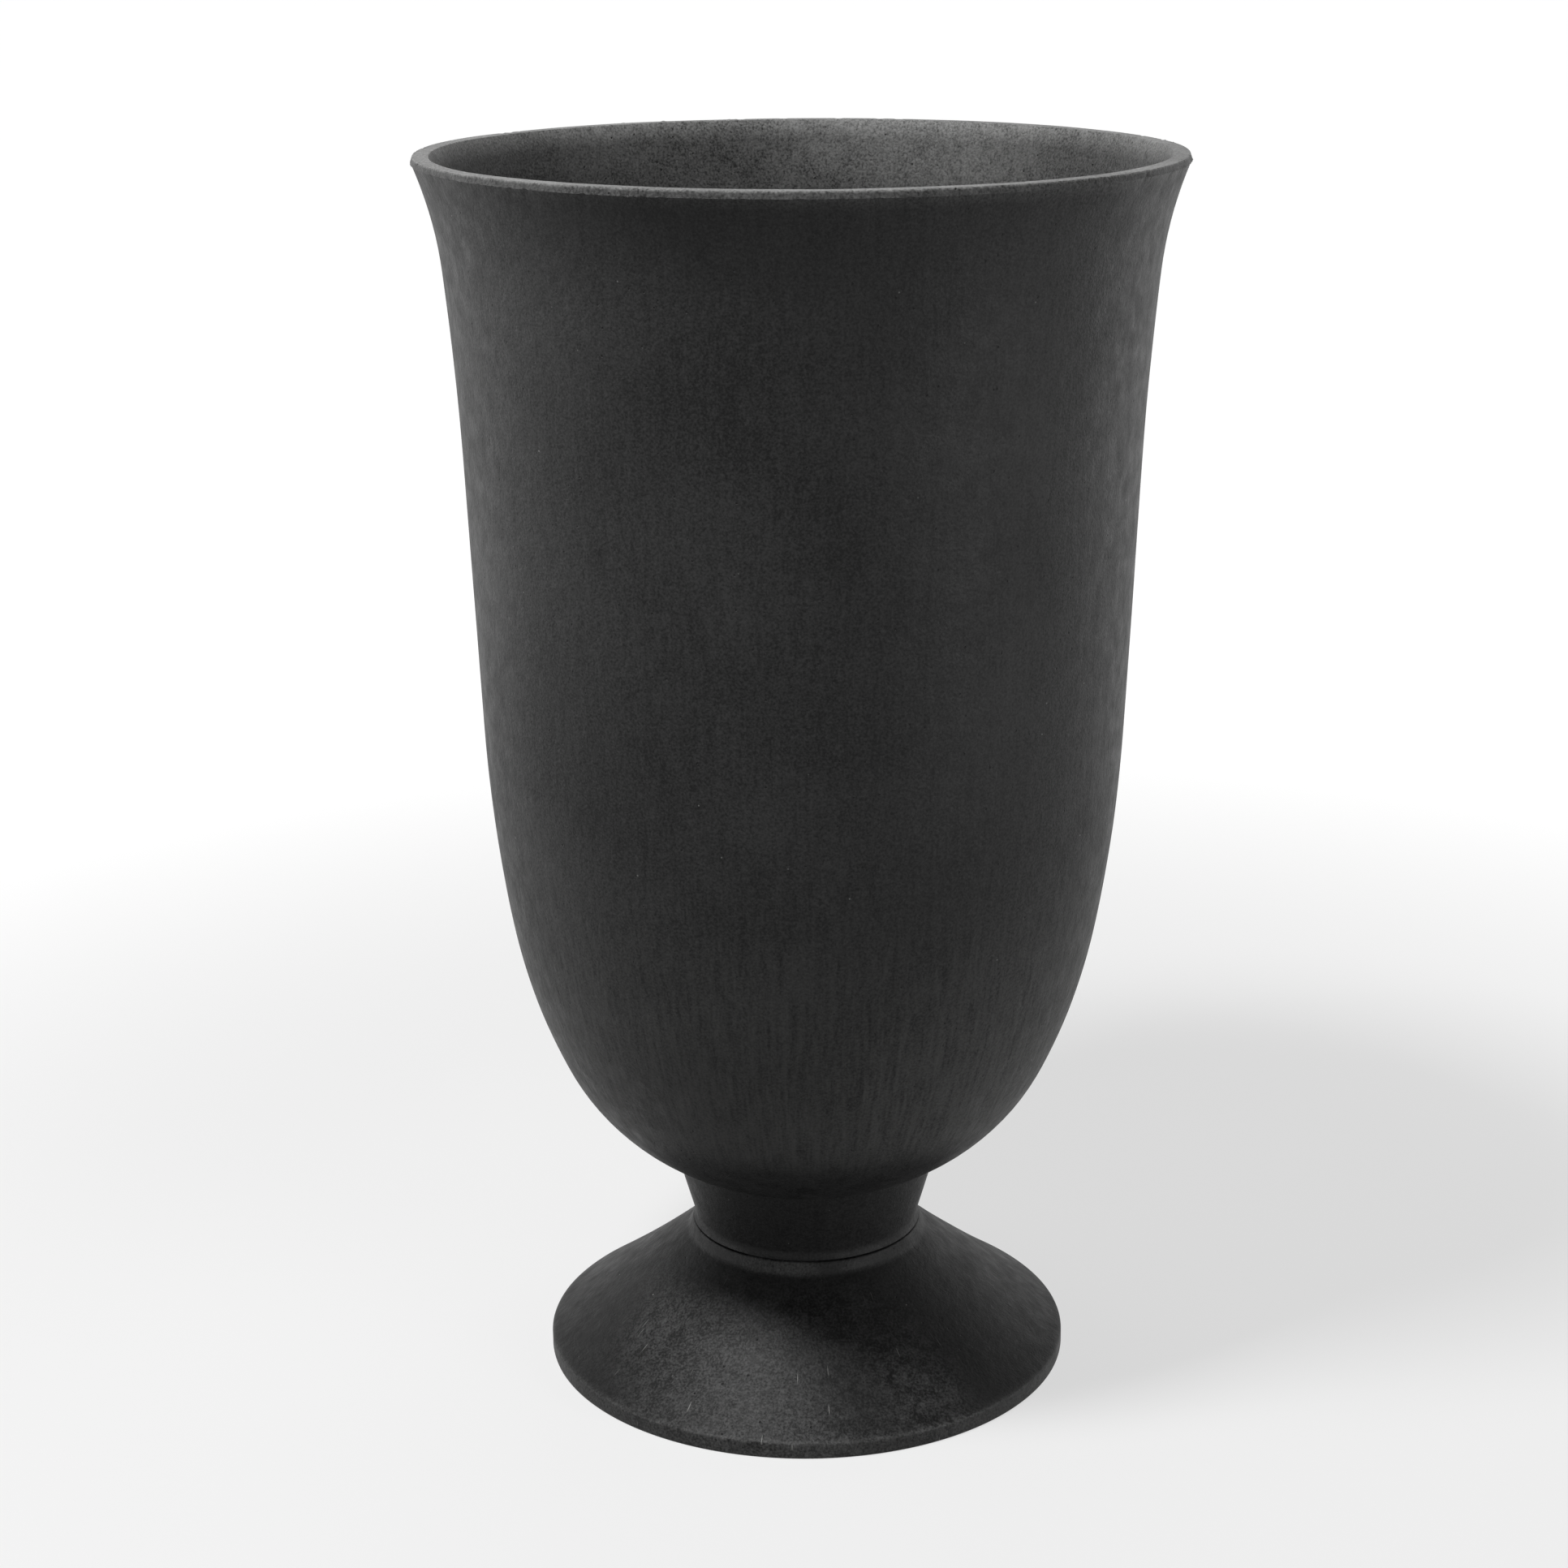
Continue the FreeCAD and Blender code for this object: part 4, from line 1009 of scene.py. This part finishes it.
print(f"thread: {turns:.1f} turns of {THREAD_PITCH} mm")

# %% [markdown]
# ## The lock nut
# The nut has a nylon ring in a rolled collar under its hexagon. The ring grips the thread, so the
# nut can't shake loose. One section gives the steel and the ring, and the ring's faces get the nylon.

# %% Lock nut
NUT_CLEARANCE = 0.05
NUT_BORE = BOLT_RADIUS + NUT_CLEARANCE
NUT_CHAMFER = 0.6
NUT_COLLAR_RADIUS = 7.4
COLLAR_ROLL = (0.9, 0.3, 0.25)
NYLON_RADIUS = 6.6
NYLON_SUNK = 0.35

nut_bm = bmesh.new()
nut_low = NUT_SEAT - NUT_HEIGHT
collar_low = nut_low - NUT_COLLAR_HEIGHT
nylon_low = collar_low + NYLON_SUNK
roll_start, roll_inset, roll_end = COLLAR_ROLL
draw_path(nut_bm, at(NUT_BORE, NUT_SEAT - NUT_CHAMFER), at(NUT_BORE + NUT_CHAMFER, NUT_SEAT),
          at(FACE_RADIUS, NUT_SEAT), at(CORNER_RADIUS, NUT_SEAT - CORNER_DROP), at(CORNER_RADIUS, nut_low),
          at(NUT_COLLAR_RADIUS, nut_low), at(NUT_COLLAR_RADIUS, collar_low + roll_start),
          at(NUT_COLLAR_RADIUS - roll_inset, collar_low + roll_end), at(NYLON_RADIUS, collar_low),
          at(NYLON_RADIUS, nylon_low), at(NUT_BORE, nylon_low), closed=True)
turn_section(nut_bm, 4)
cut_flats(nut_bm)
ring_faces = [face for face in nut_bm.faces if max(vert.co.z for vert in face.verts) < nylon_low + SAME_SPOT
              and face.calc_center_median().xy.length < NYLON_RADIUS]
for face in ring_faces:
    face.material_index = 1
print(f"nut: {len(ring_faces)} faces of nylon")

# %% [markdown]
# ## The drain plug
# The plug is pulled out by hand to drain the urn, so it has a round tab with a finger hole. Its
# stopper is turned. The tab is drawn as an outline, filled round its hole, extruded and rounded with
# `bevel`, as a soft moulded part has no sharp edge.

# %% Drain plug
PLUG_CLEARANCE = 0.05
PLUG_RADIUS = DRAIN_RADIUS - PLUG_CLEARANCE
PLUG_PROUD = 4.0
PLUG_END = FLOOR_TOP - FLOOR_THICKNESS - PLUG_PROUD
PLUG_LEAD = 1.5
FLANGE_RADIUS = 14.5
FLANGE_THICKNESS = 3.0
FLANGE_TOP = FLOOR_TOP + FLANGE_THICKNESS
FLANGE_ROUND = 1.2
TAB_WIDTH = 14.0
TAB_THICKNESS = 5.0
TAB_HEIGHT = 14.0
TAB_HOLE_RADIUS = 3.0
TAB_HOLE_SEGMENTS = 24
TAB_ROUND = 0.8
TAB_SUNK = 0.5
TAB_SPACING = 1.0
TAB_RIM_ANGLE = math.radians(60)

plug_bm = bmesh.new()
flange_rim = at(FLANGE_RADIUS, FLANGE_TOP)
draw_path(plug_bm, at(0, PLUG_END), at(PLUG_RADIUS - PLUG_LEAD, PLUG_END),
          at(PLUG_RADIUS, PLUG_END + PLUG_LEAD), at(PLUG_RADIUS, FLOOR_TOP), at(FLANGE_RADIUS, FLOOR_TOP),
          flange_rim, at(0, FLANGE_TOP))
round_corner(plug_bm, flange_rim, FLANGE_ROUND, 4)
turn_section(plug_bm, 4)

tab_bm = bmesh.new()
half = TAB_WIDTH / 2
tab_centre = at(0, FLANGE_TOP + TAB_HEIGHT - half)
tab_right, tab_left = at(half, FLANGE_TOP - TAB_SUNK), at(-half, FLANGE_TOP - TAB_SUNK)
tip = draw_line(tab_bm, tab_bm.verts.new(tab_right), tab_centre + at(half, 0), TAB_SPACING)
tip = draw_arc(tab_bm, tip, tab_centre, tab_centre + at(0, half), TAB_SPACING)
tip = draw_arc(tab_bm, tip, tab_centre, tab_centre + at(-half, 0), TAB_SPACING)
draw_lines(tab_bm, tip, (tab_left, tab_right), TAB_SPACING)
bmesh.ops.create_circle(tab_bm, segments=TAB_HOLE_SEGMENTS, radius=TAB_HOLE_RADIUS,
                        matrix=Matrix.Translation(tab_centre) @ Matrix.Rotation(math.pi / 2, 4, "X"))
bmesh.ops.remove_doubles(tab_bm, verts=tab_bm.verts, dist=SAME_SPOT)
bmesh.ops.triangle_fill(tab_bm, edges=tab_bm.edges, use_beauty=True)
grown = bmesh.ops.extrude_face_region(tab_bm, geom=tab_bm.faces[:])
bmesh.ops.translate(tab_bm, vec=(0, TAB_THICKNESS, 0),
                    verts=[part for part in grown["geom"] if isinstance(part, bmesh.types.BMVert)])
bmesh.ops.translate(tab_bm, vec=(0, -TAB_THICKNESS / 2, 0), verts=tab_bm.verts)
bmesh.ops.recalc_face_normals(tab_bm, faces=tab_bm.faces)
rims = [edge for edge in tab_bm.edges
        if len(edge.link_faces) == 2 and edge.calc_face_angle() > TAB_RIM_ANGLE]
bmesh.ops.bevel(tab_bm, geom=rims, affect="EDGES", offset=TAB_ROUND, segments=3, profile=0.5, material=-1)
tab_mesh = bpy.data.meshes.new("tab")
tab_bm.to_mesh(tab_mesh)
tab_bm.free()
plug_bm.from_mesh(tab_mesh)
bpy.data.meshes.remove(tab_mesh)
bmesh.ops.translate(plug_bm, vec=(DRAIN_OFFSET, 0, 0), verts=plug_bm.verts)
print(f"plug: {len(plug_bm.faces)} faces")

# %% [markdown]
# ## The pieces
# A finished piece stands at the origin with its place in its mesh, as the frame's own solids do. It
# rides on the body it belongs to and hides the plain solid it stands for.

# %% Finish the pieces
def finish_piece(bm, name, body, slot, node, *materials):
    """Scale a piece to metres, shade it smooth and let it stand for the frame's plain solid."""
    bmesh.ops.scale(bm, vec=(MM, MM, MM), verts=bm.verts)
    piece = show(bm, name)
    mesh = piece.data
    mesh.shade_smooth()
    mesh.set_sharp_from_angle(angle=SHARP_ANGLE)
    for material in materials:
        mesh.materials.append(material)
    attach(piece, body)
    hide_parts(node)
    triangles = sum(len(face.vertices) - 2 for face in mesh.polygons)
    print(f"{name}: {len(mesh.vertices)} points, {triangles} triangles")


finish_piece(bowl_bm, "bowl_moulding", "planter", "moulded_rubber", "bowl", rubber)
finish_piece(foot_bm, "foot_moulding", "planter", "moulded_rubber", "pedestal_foot", rubber)
finish_piece(bolt_bm, "tie_bolt_m10", "planter", "zinc_plated_steel", "tie_bolt", zinc)
finish_piece(nut_bm, "nylon_insert_nut", "planter", "zinc_plated_steel", "lock_nut", zinc, nylon)
finish_piece(plug_bm, "pull_plug", "plug", "soft_rubber", "drain_plug", soft_rubber)

# %% [markdown]
# ## The washers
# A washer's plain solid already has its whole shape, so the frame's own solids stay and only get
# their finish.

# %% Dress the washers
for name, material in (("bowl_plate_washer", zinc), ("foot_plate_washer", zinc),
                       ("bowl_seal_washer", soft_rubber)):
    for slot in bpy.data.objects[name].material_slots:
        slot.material = material
    print(f"{name}: {material.name}")

# %% [markdown]
# ## Floor
# The photograph's ground is pure white. The floor glows a little for the camera and for
# reflections, more with the distance from the urn, so that it meets the white world without a line.
# Near the urn part of its white is lit paint, which keeps the urn's soft shadow.

# %% Floor
FLOOR_SIZE = 60.0
SHADOW_REACH = (0.45, 1.7)
LIT_SHARE = linear("7F7F7F")
BOUNCE_SHARE = linear("6A6A6A")
NEAR_GLOW = 0.64
WHITE = linear("FFFFFF")


def seen_directly(material):
    """1 for rays from the camera, from gloss and through glass, and 0 for light that spreads."""
    path = add_node(material, "LightPath")
    mirror = add_node(material, "Math", {0: path.outputs["Is Camera Ray"], 1: path.outputs["Is Glossy Ray"]},
                      operation="MAXIMUM")
    seen = add_node(material, "Math", {0: mirror.outputs[0], 1: path.outputs["Is Transmission Ray"]},
                    operation="MAXIMUM")
    return seen.outputs[0]


floor_paint = new_material("matt white studio floor")
floor_place = add_node(floor_paint, "TexCoord").outputs["Object"]
from_urn = add_node(floor_paint, "VectorMath", {0: floor_place}, operation="LENGTH")
away = add_node(floor_paint, "MapRange", {"Value": from_urn.outputs["Value"], "From Min": SHADOW_REACH[0],
                                          "From Max": SHADOW_REACH[1]}, interpolation_type="SMOOTHSTEP")
near_glow = add_node(floor_paint, "MapRange", {"Value": away.outputs[0], "To Min": NEAR_GLOW, "To Max": 1.0})
plain = add_node(floor_paint, "BsdfDiffuse", {"Color": BOUNCE_SHARE})
pale = add_node(floor_paint, "BsdfDiffuse", {"Color": LIT_SHARE})
glow = add_node(floor_paint, "Emission", {"Color": WHITE, "Strength": near_glow.outputs[0]})
lit = add_node(floor_paint, "AddShader", {0: pale.outputs[0], 1: glow.outputs[0]})
floor_mix = add_node(floor_paint, "MixShader", {0: seen_directly(floor_paint), 1: plain.outputs[0],
                                                2: lit.outputs[0]})
add_node(floor_paint, "OutputMaterial", {"Surface": floor_mix.outputs[0]})

floor_bm = bmesh.new()
bmesh.ops.create_grid(floor_bm, x_segments=1, y_segments=1, size=FLOOR_SIZE / 2)
floor = show(floor_bm, "studio_floor")
floor.data.materials.append(floor_paint)
print(f"floor: {FLOOR_SIZE:.0f} m across, shadow fades out {SHADOW_REACH[1]} m from the urn")

# %% [markdown]
# ## World
# The world is a white backdrop all round with a darker ceiling, as a studio has. It is white where it
# is seen or mirrored, and much weaker as a light, so that the lamps shape the urn. The height of a
# direction above the horizon is the Z of its unit vector.

# %% World
WORLD_LIGHT = 0.04
BACKDROP_TOP = math.sin(math.radians(18))
CEILING_FROM = math.sin(math.radians(45))
CEILING_SHARE = 0.25

world = bpy.data.worlds.new("white studio")
bpy.context.scene.world = world
world.use_nodes = True
world.node_tree.nodes.clear()
facing = add_node(world, "SeparateXYZ", {"Vector": add_node(world, "TexCoord").outputs["Generated"]})
backdrop = add_node(world, "MapRange", {"Value": facing.outputs["Z"], "From Min": BACKDROP_TOP,
                                        "From Max": CEILING_FROM, "To Min": 1.0, "To Max": CEILING_SHARE},
                    interpolation_type="SMOOTHSTEP")
white = add_node(world, "MapRange", {"Value": seen_directly(world), "To Min": WORLD_LIGHT, "To Max": 1.0})
strength = add_node(world, "Math", {0: backdrop.outputs[0], 1: white.outputs[0]}, operation="MULTIPLY")
sky = add_node(world, "Background", {"Color": WHITE, "Strength": strength.outputs[0]})
add_node(world, "OutputWorld", {"Surface": sky.outputs[0]})
print(f"world: white to the eye, {WORLD_LIGHT:.0%} of that as light")

# %% [markdown]
# ## Lamps
# The light comes from six soft boxes. The key stands high at the front left: it lights the foot's
# front and drops the bowl's shadow on the foot's right. One lamp high behind the urn lights the lip
# and the inside, and four low ones at the sides draw the pale bands along both edges.

# %% Lamps
LAMPS = (
    # name, azimuth, elevation, distance in m, width, height, watts
    ("front_left_key", -50, 64, 2.2, 0.4, 0.4, 58),
    ("high_back", 180, 70, 2.2, 0.9, 0.9, 8),
    ("right_front", 56, 4, 2.2, 0.9, 0.9, 16),
    ("right_side", 118, 2, 2.2, 0.9, 0.9, 5),
    ("left_front", -78, 6, 2.2, 0.9, 0.9, 8),
    ("left_side", -118, 2, 2.2, 0.9, 0.9, 5),
)
LAMP_AIM = Vector((0, 0, 0.36))

for name, azimuth, elevation, distance, width, height, watts in LAMPS:
    across, up = math.radians(azimuth), math.radians(elevation)
    out = Vector((math.sin(across) * math.cos(up), -math.cos(across) * math.cos(up), math.sin(up)))
    data = bpy.data.lights.new(name, "AREA")
    data.shape = "RECTANGLE"
    data.size, data.size_y, data.energy = width, height, watts
    lamp = bpy.data.objects.new(name, data)
    lamp.matrix_world = (Matrix.Translation(LAMP_AIM + out * distance)
                         @ out.to_track_quat("Z", "Y").to_matrix().to_4x4())
    bpy.context.scene.collection.objects.link(lamp)
    lamp.visible_camera = False
    print(f"{name}: {watts} W at {azimuth} degrees round and {elevation} up")

# %% [markdown]
# ## Close the scene
# The view transform is set to Standard, so that a colour shows as it is written.

# %% Finish
bpy.context.scene.view_settings.view_transform = "Standard"
